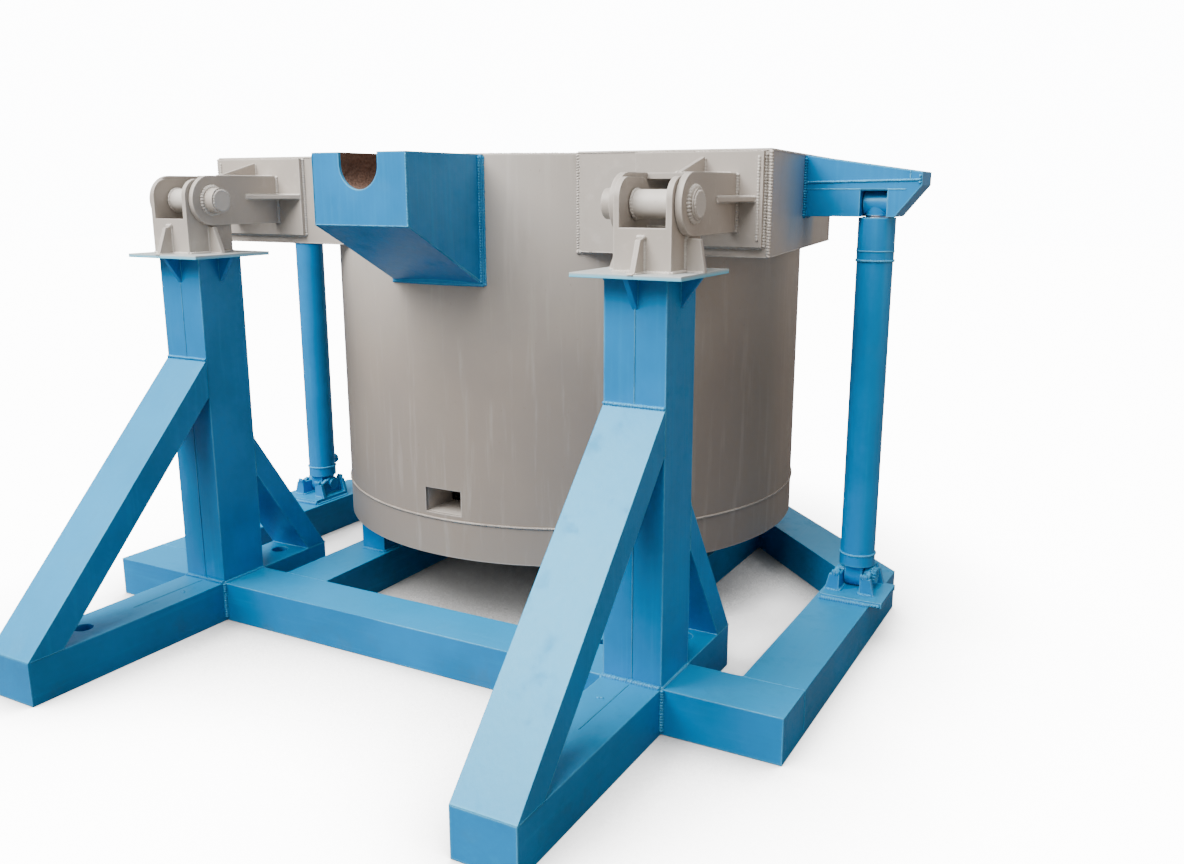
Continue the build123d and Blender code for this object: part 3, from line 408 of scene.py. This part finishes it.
def roundWeld(centre, radius, height, fromAngle, toAngle, rise, size):     # rise tips it from outwards to upwards
    sweep = math.radians(toAngle - fromAngle)
    count = max(3, round(radius * abs(sweep) / weld["pitch"]))
    turn = bpy.data.objects.new("turn", None)
    bpy.context.collection.objects.link(turn)
    turn.rotation_euler = (0, 0, sweep / count)
    out = Vector((math.cos(rise), 0, math.sin(rise)))
    along = Vector((0, 1, 0))
    side = out.cross(along)
    place = Matrix((
        (along.x, side.x, out.x, radius),
        (along.y, side.y, out.y, 0),
        (along.z, side.z, out.z, 0),
        (0, 0, 0, 1)))
    row = newRow(size, count, hub={"start": place, "empty": turn})
    start = Matrix.Rotation(math.radians(fromAngle), 4, "Z")
    row.data.transform(Matrix.Translation((centre[0], centre[1], height)) @ start)
    bpy.data.objects.remove(turn)
    return row


def pinWeld(centre, radius, size, way):           # round a pin that lies along X, in the corner with a face
    row = roundWeld((0, 0), radius, 0, 0, 360, rise=0.9, size=size)
    row.data.transform(Matrix.Translation(centre) @ Matrix.Rotation(math.radians(90 * way), 4, "Y"))
    return row


def joined(name, rows, body, finish):
    bpy.ops.object.select_all(action="DESELECT")
    for row in rows:
        row.select_set(True)
    bpy.context.view_layer.objects.active = rows[0]
    if len(rows) > 1:
        bpy.ops.object.join()
    piece = bpy.context.view_layer.objects.active
    piece.name = name
    piece.data.name = name
    piece.data.materials.clear()
    piece.data.materials.append(finishes[finish])
    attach(piece, body)


def mirroredLine(line):
    flip = lambda p: (-p[0], p[1], p[2])
    start, end, out, size = line
    return (flip(start), flip(end), flip(out), size)


def onBothSides(name, lines, body, finish, extra=None):
    for side, sign in (("right", 1), ("left", -1)):
        rows = [straightWeld(*(line if sign == 1 else mirroredLine(line))) for line in lines]
        if extra:
            rows += extra(sign)
        joined(f"{name}_{side}", rows, body, finish)


def rectangleLines(x1, x2, y1, y2, z, size, tilt=1.0):      # round an upright box that stands on a level plate
    return [
        ((x1, y1, z), (x2, y1, z), (0, -1, tilt), size),
        ((x2, y1, z), (x2, y2, z), (1, 0, tilt), size),
        ((x2, y2, z), (x1, y2, z), (0, 1, tilt), size),
        ((x1, y2, z), (x1, y1, z), (-1, 0, tilt), size),
    ]


baseWelds = {
    "braceFoot": 0.878,                           # underside of the front brace at the post
    "braceHeel": -1.3807,
    "rearBraceFoot": 0.535,
    "rearBraceHeel": -0.2442,
    "railCorner": (1.209, 0.579),
    "beamCorner": (0.537, 1.251),
    "beamSeam": (0.083, 0.2),                     # from that corner to the seam's other end
    "clear": 0.005,                               # a seam's start above the deck
    "floorGap": 0.012,
    "capRib": 0.085,
    "ribHalf": 0.008,
    "strayDrop": ((0.878, -0.842), (0.898, -0.834)),
    "restBlock": (0.113, 0.15),
}
bracketWelds = {                                  # on the right cylinder's foot bracket
    "ears": ((1.264, 1.284, 1.236, -1), (1.380, 1.360, 1.408, 1)),   # outer face, inner face, rib's tip, side
    "ledge": 0.020,
    "inside": (0.300, 0.460),
    "outside": (0.316, 0.444),
    "ribs": (0.298, 0.462),
    "lumps": (0.304, 0.456),
    "shoulder": 0.234,
    "dab": ((0.316, 0.225), (0.355, 0.238)),
    "rings": ((1.391, 0.022), (1.382, 0.026)),    # place along the pin, radius
    "pin": (0.396, 0.216),
}
pedestalWelds = {
    "middle": (0.945, -0.604),
    "half": (0.09, 0.101),
    "ribHeight": 0.096,
    "dabHeight": 0.098,
}


def postSeams(post, brace, rear):
    given = baseWelds
    x1, x2, mid = post[0].x, post[1].x, (post[0].x + post[1].x) / 2
    front, back, deck, top, clear = post[0].y, post[1].y, post[0].z, post[1].z, given["clear"]
    seams = [
        ((mid, front, deck + clear), (mid, front, given["braceFoot"]), (0, -1, 0), "seam"),
        ((mid, front, brace[1].z + clear), (mid, front, top), (0, -1, 0), "seam"),
        ((mid, back, deck + clear), (mid, back, given["rearBraceFoot"]), (0, 1, 0), "seam"),
        ((mid, back, rear[1].z + clear), (mid, back, top), (0, 1, 0), "seam"),
        ((mid, given["braceHeel"] + 0.35, deck), (mid, front - 0.02, deck), (0, 0, 1), "seam"),
    ]
    for x, out in ((x1, -1), (x2, 1)):
        seams += [
            ((x, front, given["braceFoot"]), (x, front, brace[1].z), (out, 0, 0), "seam"),
            ((x, brace[0].y + 0.012, deck), (x, given["braceHeel"], deck), (out, 0, 0), "seam"),
            ((x, back, given["rearBraceFoot"]), (x, back, rear[1].z), (out, 0, 0), "seam"),
        ]
    return seams


def railLines(back, deck):
    given, low = baseWelds, baseWelds["floorGap"]
    rail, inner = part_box("outer_rail_right"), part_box("inner_rail_right")
    (cornerX, cornerY), (stepX, stepY) = given["beamCorner"], given["beamSeam"]
    return [
        ((rail[0].x, back, deck), (rail[1].x, back, deck), (0, 0, 1), "seam"),
        ((rail[1].x, back, low), (rail[1].x, back, deck), (1, 0, 0), "seam"),
        ((rail[0].x, back, low), (rail[0].x, back, deck), (-1, 1, 0), "fillet"),
        ((*given["railCorner"], deck), (rail[1].x, rail[1].y, deck), (0, 0, 1), "seam"),
        ((cornerX, cornerY, deck), (cornerX + stepX, cornerY + stepY, deck), (0, 0, 1), "seam"),
        ((inner[0].x, back, deck), (inner[1].x, back, deck), (0, 0, 1), "seam"),
        ((inner[0].x, back, low), (inner[0].x, back, deck), (-1, 1, 0), "fillet"),
        ((inner[1].x, back, low), (inner[1].x, back, deck), (1, 1, 0), "fillet"),
    ]


def capRibLines(x1, x2, front, back, top):
    half, foot = baseWelds["ribHalf"], top - baseWelds["capRib"]
    middle = (front + back) / 2
    lines = []
    for way, face, side in ((-1, front, x1), (1, back, x2)):
        for off in (-half, half):
            x, tip = (x1 + x2) / 2 + off, math.copysign(1, off)
            lines.append(((x, face, foot), (x, face, top), (tip, way, 0), "seam"))
            lines.append(((side, middle + off, foot), (side, middle + off, top), (way, tip, 0), "seam"))
    return lines


def bracketLines(deck, railX):
    given, plate = bracketWelds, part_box("foot_bracket_right")
    px1, px2, py1, py2, ledge = plate[0].x, plate[1].x, plate[0].y, plate[1].y, deck + given["ledge"]
    lines = [
        ((px1, py1, deck + 0.004), (railX, py1, deck + 0.004), (0, -1, 1), "heavy"),
        ((railX, py1, deck + 0.008), (px2 - 0.006, py1, deck + 0.008), (0, -1, -0.4), "fillet"),
        ((px1, py2, deck), (railX, py2, deck), (0, 1, 1), "fillet"),
        ((px1, py1, deck), (px1, py2, deck), (-1, 0, 1), "fillet"),
        ((railX, py1, deck), (railX, py2, deck), (1, 0, -1), "small"),
    ]
    for ear, wall, tip, out in given["ears"]:
        lines.append(((wall, given["inside"][0], ledge), (wall, given["inside"][1], ledge), (-out, 0, 1), "fillet"))
    (o1, o2), (r1, r2), (l1, l2) = given["outside"], given["ribs"], given["lumps"]
    (dab1, dab2), shoulder = given["dab"], given["shoulder"]
    for ear, wall, tip, out in given["ears"]:
        lines += [
            ((ear, o1, ledge), (ear, o2, ledge), (out, 0, 1), "fillet"),
            ((wall, r1, ledge), (tip, r1, ledge), (0, -1, 1), "fillet"),
            ((wall, r2, ledge), (tip, r2, ledge), (0, 1, 1), "small"),
            ((wall, l1, shoulder), (ear + out * 0.010, l1, shoulder), (0, -0.5, 1), "lump"),
            ((wall, l2, shoulder), (ear + out * 0.010, l2, shoulder), (0, 0.5, 1), "lump"),
            ((ear, *dab1), (ear, *dab2), (out, 0, 0.6), "heavy"),
        ]
    return lines


def bracketRings(sign):
    return [pinWeld((sign * x, *bracketWelds["pin"]), radius, "heavy", sign) for x, radius in bracketWelds["rings"]]


def pedestalLines(cap):
    given, pedestal = pedestalWelds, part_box("pedestal_right")
    (mx, my), (hx, hy), half, capTop = given["middle"], given["half"], baseWelds["ribHalf"], cap[1].z
    bx1, bx2, by1, by2 = mx - hx, mx + hx, my - hy, my + hy
    ribTop, dab = capTop + given["ribHeight"], capTop + given["dabHeight"]
    lines = rectangleLines(bx1, bx2, by1, by2, capTop, "fillet")
    for off in (-half, half):
        tip = math.copysign(1, off)
        lines += [
            ((mx + off, pedestal[0].y + 0.004, capTop), (mx + off, by1, capTop), (tip, 0, 1), "small"),
            ((mx + off, by2, capTop), (mx + off, pedestal[1].y - 0.004, capTop), (tip, 0, 1), "small"),
            ((pedestal[0].x + 0.004, my + off, capTop), (bx1, my + off, capTop), (0, tip, 1), "small"),
            ((bx2, my + off, capTop), (pedestal[1].x - 0.004, my + off, capTop), (0, tip, 1), "small"),
            ((mx + off, by1, capTop), (mx + off, by1, ribTop), (tip, -1, 0), "small"),
            ((mx + off, by2, capTop), (mx + off, by2, ribTop), (tip, 1, 0), "small"),
            ((bx1, my + off, capTop), (bx1, my + off, ribTop), (-1, tip, 0), "small"),
            ((bx2, my + off, capTop), (bx2, my + off, ribTop), (1, tip, 0), "small"),
        ]
    edge, tipY = cap[0].y + 0.002, pedestal[0].y + 0.006
    return lines + [
        ((mx - 0.012, by1 - 0.004, dab), (mx + 0.012, by1 - 0.004, dab), (0, -1, 1), "fillet"),
        ((bx2 + 0.004, my - 0.010, dab), (bx2 + 0.004, my + 0.010, dab), (1, 0, 1), "fillet"),
        ((mx - 0.010, tipY, capTop), (mx + 0.010, tipY, capTop), (0, -1, 1), "small"),
        ((mx - 0.012, edge, capTop), (mx + 0.006, edge, capTop), (0, -0.2, 1), "small"),
    ]


def weldBase():
    post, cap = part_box("post_right"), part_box("post_cap_right")
    brace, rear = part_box("front_brace_right"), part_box("rear_brace_right")
    rail, foot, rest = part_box("outer_rail_right"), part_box("front_foot_right"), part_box("rest_blocks")
    x1, x2, front, back, deck, top = post[0].x, post[1].x, post[0].y, post[1].y, post[0].z, post[1].z
    given = baseWelds
    onBothSides("frameSeams", postSeams(post, brace, rear), "base", "blueSeam")
    heel, rearHeel, rearTop = given["braceHeel"], given["rearBraceHeel"], rear[1].z
    lines = rectangleLines(x1, x2, front, back, deck, "fillet")
    lines += [
        ((x1, front - 0.004, deck), (x2, front - 0.004, deck), (0, -1, 1), "heavy"),
        ((x1, front, brace[1].z), (x2, front, brace[1].z), (0, -1, 0.45), "fillet"),
        ((x1, front, given["braceFoot"]), (x2, front, given["braceFoot"]), (0, -1, -0.6), "small"),
        ((x1, foot[0].y + 0.010, deck), (x2, foot[0].y + 0.010, deck), (0, -0.4, 1), "seam"),
        ((x1, heel, deck), (x2, heel, deck), (0, 1, 0.6), "small"),
        ((x1, back, rearTop), (x2, back, rearTop), (0, 1, 0.5), "small"),
        ((x1, back, given["rearBraceFoot"]), (x2, back, given["rearBraceFoot"]), (0, 1, -1), "small"),
        ((x1, rear[1].y, deck), (x2, rear[1].y, deck), (0, 1, 0.7), "small"),
        ((x1, rearHeel, deck), (x2, rearHeel, deck), (0, -1, 0.6), "small"),
    ]
    lines += railLines(back, deck)
    for x, out in ((x1, -1), (x2, 1)):
        lines += [
            ((x, front, given["floorGap"]), (x, front, deck), (out, -1, 0), "heavy"),
            ((x, back, given["floorGap"]), (x, back, deck), (out, 1, 0), "fillet"),
        ]
    lines += rectangleLines(x1, x2, front, back, top, "small", -1.0)
    drop1, drop2 = given["strayDrop"]
    lines.append(((*drop1, deck), (*drop2, deck), (0, 0, 1), "small"))
    lines += capRibLines(x1, x2, front, back, top)
    lines += bracketLines(deck, rail[1].x)
    width, length = given["restBlock"]
    for y1, y2 in ((rest[0].y, rest[0].y + length), (rest[1].y - length, rest[1].y)):
        lines += rectangleLines(rest[1].x - width, rest[1].x, y1, y2, deck, "fillet")
    onBothSides("frameWelds", lines, "base", "blueY", bracketRings)
    onBothSides("pedestalWelds", pedestalLines(cap), "base", "greyPale")


weldBase()
print("base welded,", lineCount[0], "runs")

shellWelds = {
    "axis": (0.0, 0.556),
    "radius": 0.953,
    "band": 0.447,
    "boxRoot": 0.4925,                            # where a side box's front meets the shell
    "boxBackRoot": 0.873,
    "boxBackEnd": 0.992,
    "underBox": {1: (-58.9, 23.6), -1: (156.4, 238.9)},
    "rim": (-82.6, 262.6),
}
armWelds = {
    "plateWidth": 0.428,
    "top": 1.673,
    "bottom": 1.497,
    "gusset": 1.596,
    "gussetHalf": 0.007,
    "gussets": ((0.833, 0.715, -1), (1.057, 1.119, 1)),
    "faces": ((0.833, -1), (0.853, 1), (1.037, -1), (1.057, 1)),
    "cover": (0.853, 1.037),
    "coverRib": ((0.938, -1), (0.952, 1)),
    "axle": (-0.604, 1.585),
    "rings": ((1.057, 0.045, "heavy", 1), (0.833, 0.045, "heavy", -1), (1.073, 0.035, "small", 1),
              (0.785, 0.035, "small", -1), (0.880, 0.0405, "small", 1), (1.010, 0.0405, "small", -1)),
}
spoutWelds = {
    "half": 0.186,
    "frontFoot": 1.514,
    "backFoot": 1.315,
    "boxY": -0.3892,
    "flange": (0.196, -0.3766),
    "flangeFoot": 1.305,
    "arc": (-101.9, -78.1),
}
liftWelds = {
    "root": (1.0770, 1.0577),
    "ridge": (1.648, 1.656),
    "joint": 1.625,
    "slot": (1.276, 1.368, 1.624),
    "cheek": (0.008, 1.643, 1.674),
    "cheekSeam": (0.040, 1.660, 1.688),
}


def plateLines(plates, faceY):
    given, plateY = armWelds, plates[0].y
    px1, px2, pz1, pz2 = plates[1].x - given["plateWidth"], plates[1].x, plates[0].z, plates[1].z
    low, high, half = given["bottom"], given["top"], given["gussetHalf"]
    lines = [
        ((px1, faceY, pz1), (px1, faceY, pz2), (-1, -1, 0), "fillet"),
        ((px2, faceY, pz1), (px2, faceY, pz2 - 0.006), (1, -1, 0), "fillet"),
        ((px2 - 0.014, plateY, pz1 + 0.02), (px2 - 0.014, plateY, pz2 - 0.014), (0.3, -1, 0), "small"),
        ((px1, faceY, pz1), (px2, faceY, pz1), (0, -1, -1), "fillet"),
        ((px1, faceY, pz2 - 0.003), (px2, faceY, pz2 - 0.003), (0, -1, 0.4), "small"),
    ]
    lines += [((x, plateY, low), (x, plateY, high), (out, -1, 0), "fillet") for x, out in given["faces"]]
    for face, tip, out in given["gussets"]:
        for lift in (-1, 1):
            z = given["gusset"] + lift * half
            lines.append(((face, plateY - 0.160, z), (face, plateY, z), (out, 0, lift), "small"))
            lines.append(((face, plateY, z), (tip, plateY, z), (0, -1, lift), "small"))
    left, right = given["cover"]
    lines += [
        ((left, plateY, high), (right, plateY, high), (0, -1, 1), "small"),
        ((left, plateY - 0.2, high), (left, plateY, high), (0, 0, 1), "seam"),
        ((right, plateY - 0.2, high), (right, plateY, high), (0, 0, 1), "seam"),
    ]
    for x, out in given["coverRib"]:
        lines.append(((x, plateY - 0.185, high), (x, plateY, high), (out, 0, 1), "small"))
        lines.append(((x, plateY, high), (x, plateY, high + 0.048), (out, -1, 0), "small"))
    return lines


def armRings(sign):
    rings = armWelds["rings"]
    return [pinWeld((sign * x, *armWelds["axle"]), radius, size, sign * way) for x, radius, size, way in rings]


def sideBoxLines(wing, rimZ):
    given = shellWelds
    root, backRoot, end = given["boxRoot"], given["boxBackRoot"], given["boxBackEnd"]
    x, y1, y2, z1, z2 = wing[1].x, wing[0].y, wing[1].y, wing[0].z, wing[1].z
    return [
        ((root, y1 + 0.004, z1), (root, y1 + 0.004, rimZ), (-1, -1, 0), "fillet"),
        ((x, y1, z1), (x, y1, z2 - 0.006), (1, -1, 0), "fillet"),
        ((root, y1, z1), (x, y1, z1), (0, -1, -1), "seam"),
        ((root, y1, z2 - 0.005), (x, y1, z2 - 0.005), (0, -1, 0), "seam"),
        ((x, y1, z1), (end, y2, z1), (1, 0, -1), "seam"),
        ((x, y1, z2 - 0.005), (end, y2, z2 - 0.005), (1, 0, 0), "seam"),
        ((end, y2, z1), (end, y2, z2 - 0.006), (1, 1, 0), "small"),
        ((backRoot, y2, z1), (backRoot, y2, rimZ), (-0.2, 1, 0), "fillet"),
    ]


def spoutRows():
    given, spout = spoutWelds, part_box("spout_shell")
    half, frontY, top, foot, back = given["half"], spout[0].y, spout[1].z - 0.006, given["frontFoot"], given["backFoot"]
    boxY, (flangeX, flangeY), flangeZ = given["boxY"], given["flange"], given["flangeFoot"]
    rows = [straightWeld((-half, frontY, foot), (half, frontY, foot), (0, -1, -1), "seam")]
    for s in (-1, 1):
        rows += [
            straightWeld((s * half, frontY, foot), (s * half, frontY, top), (s, -1, 0), "seam"),
            straightWeld((s * half, frontY, foot), (s * half, boxY, back + 0.004), (s, 0, -1), "seam"),
            straightWeld((s * flangeX, flangeY, flangeZ), (s * flangeX, flangeY, top), (s, -0.7, 0), "small"),
            straightWeld((s * half, boxY, back), (s * half, boxY, top), (s, -1, 0), "fillet"),
        ]
    axis, radius = shellWelds["axis"], shellWelds["radius"] + 0.002
    rows.append(roundWeld(axis, radius, flangeZ, *given["arc"], rise=-0.9, size="small"))
    return rows


def liftArmLines():
    given, arm = liftWelds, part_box("lift_arm_right")
    y1, y2, z1, z2, x2 = arm[0].y, arm[1].y, arm[0].z, arm[1].z, arm[1].x
    (r1, r2), (ridge, ridgeEnd), joint = given["root"], given["ridge"], given["joint"]
    slot1, slot2, slotTop = given["slot"]
    cheek, seam = given["cheek"], given["cheekSeam"]
    return [
        ((r1, y1, z1), (r1, y1, z2 - 0.012), (1, -1, 0), "heavy"),
        ((r2, y2, z1), (r2, y2, z2 - 0.012), (1, 1, 0), "fillet"),
        ((r1, y1, z1), (r2, y2, z1), (1, 0, -1), "fillet"),
        ((r1 + 0.01, y1, ridge), (x2 - 0.012, y1, ridgeEnd), (0, -1, 0.2), "small"),
        ((r1 + 0.01, y2, ridge), (x2 - 0.012, y2, ridgeEnd), (0, 1, 0.2), "small"),
        ((r1 + 0.01, y1, joint), (slot1, y1, joint), (0, -1, 0), "seam"),
        ((slot2, y1, joint), (x2 - 0.052, y1, joint), (0, -1, 0), "seam"),
        ((x2 - cheek[0], y1, cheek[1]), (x2 - cheek[0], y1, cheek[2]), (0, -1, 0), "small"),
        ((x2 - seam[0], y1, seam[1]), (x2 - seam[0], y1, seam[2]), (0, -1, 0), "seam"),
        ((slot1, y1 + 0.006, slotTop), (slot2, y1 + 0.006, slotTop), (0, -1, -1), "small"),
    ]


def weldBody():
    given = shellWelds
    axis, radius = given["axis"], given["radius"]
    plates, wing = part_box("trunnion_plates"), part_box("wing_box_right")
    rimZ, boxZ = plates[1].z, wing[0].z

    def underside(sign):
        return [roundWeld(axis, radius, boxZ, *given["underBox"][sign], rise=-0.78, size="fillet")]

    onBothSides("trunnionWelds", plateLines(plates, wing[0].y), "furnace", "greyPale", armRings)
    onBothSides("sideBoxWelds", sideBoxLines(wing, rimZ), "furnace", "greyShell", underside)
    band = roundWeld(axis, radius, given["band"], 100, 440, rise=0.0, size="small")
    joined("bandWeld", [band], "furnace", "greyShell")
    rim = roundWeld(axis, radius - 0.012, rimZ, *given["rim"], rise=1.5708, size="small")
    joined("rimWeld", [rim], "furnace", "greyShell")
    joined("spoutWelds", spoutRows(), "furnace", "blueZ")
    onBothSides("liftArmWelds", liftArmLines(), "furnace", "blueZ")


weldBody()
print("body welded,", lineCount[0], "runs")

cylinderWelds = {
    "middle": (1.322, 0.396),
    "radius": 0.0632,
    "foot": 0.302,
    "gland": 1.381,
    "groove": 1.414,
}


def weldCylinders():
    given = cylinderWelds
    for side, sign in (("right", 1), ("left", -1)):
        centre = (sign * given["middle"][0], given["middle"][1])
        rows = [
            roundWeld(centre, given["radius"], given["foot"], 0, 360, rise=0.6, size="small"),
            roundWeld(centre, given["radius"], given["gland"], 0, 360, rise=-0.6, size="small"),
            roundWeld(centre, given["radius"] + 0.0016, given["groove"], 0, 360, rise=0.0, size="seam"),
        ]
        joined(f"cylinderWelds_{side}", rows, f"barrel_{side}", "blueZ")


weldCylinders()
bpy.data.objects.remove(ripple)
print("cylinders done")

studio = {
    "floorSize": 60,
    "floorDrop": 0.0015,
    "floor": rgb(160, 158, 155),
    "cloud": rgb(142, 141, 139),
    "sky": rgb(250, 251, 253),
    "skyStrength": 0.46,
    "backdrop": 14.0,                             # the same sky where the camera sees it
    "bounce": rgb(104, 100, 96),                  # what the floor throws back onto the machine
    "lift": 13.0,
    "paintedShadow": (1.1, 3.0),                         # how far and how deep the painted shadow under the machine goes
    "aim": (0, 0, 0.8),
    "suns": (                                     # name, where from, strength, width, colour
        ("keySky", (-0.30, -0.70, 1.0), 6.2, 62.0, (1.0, 0.99, 0.97)),
        ("backSky", (-0.5, 1.0, 0.8), 1.3, 50.0, (0.95, 0.98, 1.0)),
    ),
    "boxes": (                                    # name, place, size, power, colour
        ("frontSoftbox", (-1.5, -3.2, 4.6), 2.6, 230.0, (1.0, 1.0, 1.0)),
        ("brownSide", (6.0, 0.6, 2.4), 3.0, 40.0, (1.0, 0.72, 0.5)),
    ),
}


def buildStudio():
    bpy.ops.object.select_all(action="DESELECT")
    bpy.ops.mesh.primitive_plane_add(size=studio["floorSize"], location=(0, 0, -studio["floorDrop"]))
    floor = bpy.context.object
    floor.name = "studioFloor"
    sheet = Sheet("studioFloor")
    cloud = sheet.noise(0.7, 3.0, 0.5)
    seen = sheet.put("ShaderNodeLightPath", output="Is Camera Ray")
    tone = sheet.mixed(cloud * 0.3, studio["floor"], studio["cloud"])
    tone = sheet.mixed(seen, studio["bounce"], tone)
    reach, depth = studio["paintedShadow"]
    clear = sheet.put("ShaderNodeAmbientOcclusion", {"samples": 8}, {"Distance": reach}, output="AO")
    # the floor's glow, dimmed near the machine by ambient occlusion: a painted shadow
    glow = sheet.mixed(seen * clear ** depth, (0, 0, 0, 1), (1, 1, 1, 1))
    relief = sheet.bumped(cloud, 0.0002, 0.0005)
    fixed = {"Emission Color": glow, "Emission Strength": studio["lift"], "Specular IOR Level": 0.0}
    floor.data.materials.append(sheet.finish(tone, 0.9, relief, **fixed))
    for name, place, power, width, colour in studio["suns"]:
        lamp = bpy.data.lights.new(name, "SUN")
        lamp.energy = power
        lamp.angle = math.radians(width)
        lamp.color = colour
        light = bpy.data.objects.new(name, lamp)
        bpy.context.collection.objects.link(light)
        light.rotation_euler = Vector(place).to_track_quat("Z", "Y").to_euler()
        light.visible_glossy = name == "keySky"
    for name, place, size, power, colour in studio["boxes"]:
        lamp = bpy.data.lights.new(name, "AREA")
        lamp.shape = "SQUARE"
        lamp.size = size
        lamp.energy = power
        lamp.color = colour
        light = bpy.data.objects.new(name, lamp)
        bpy.context.collection.objects.link(light)
        light.location = place
        light.rotation_euler = (Vector(place) - Vector(studio["aim"])).to_track_quat("Z", "Y").to_euler()
    world = bpy.data.worlds.new("studioSky")
    bpy.context.scene.world = world
    world.use_nodes = True
    tree = world.node_tree
    tree.nodes.clear()
    rays = tree.nodes.new("ShaderNodeLightPath")
    strength = tree.nodes.new("ShaderNodeMapRange")
    strength.inputs["To Min"].default_value = studio["skyStrength"]
    strength.inputs["To Max"].default_value = studio["backdrop"]
    sky = tree.nodes.new("ShaderNodeBackground")
    sky.inputs["Color"].default_value = studio["sky"]
    out = tree.nodes.new("ShaderNodeOutputWorld")
    tree.links.new(rays.outputs["Is Camera Ray"], strength.inputs["Value"])
    tree.links.new(strength.outputs[0], sky.inputs["Strength"])
    tree.links.new(sky.outputs[0], out.inputs["Surface"])


buildStudio()

view = {"place": (2.2466, -3.3841, 1.6293), "turn": (76.992, 0.0, 28.572), "lens": 32.13}
camera = bpy.data.objects.new("camera", bpy.data.cameras.new("camera"))
bpy.context.collection.objects.link(camera)
camera.location = view["place"]
camera.rotation_euler = tuple(math.radians(v) for v in view["turn"])
camera.data.lens = view["lens"]
camera.data.sensor_width = 36.0
bpy.context.scene.camera = camera
print("studio and camera set")
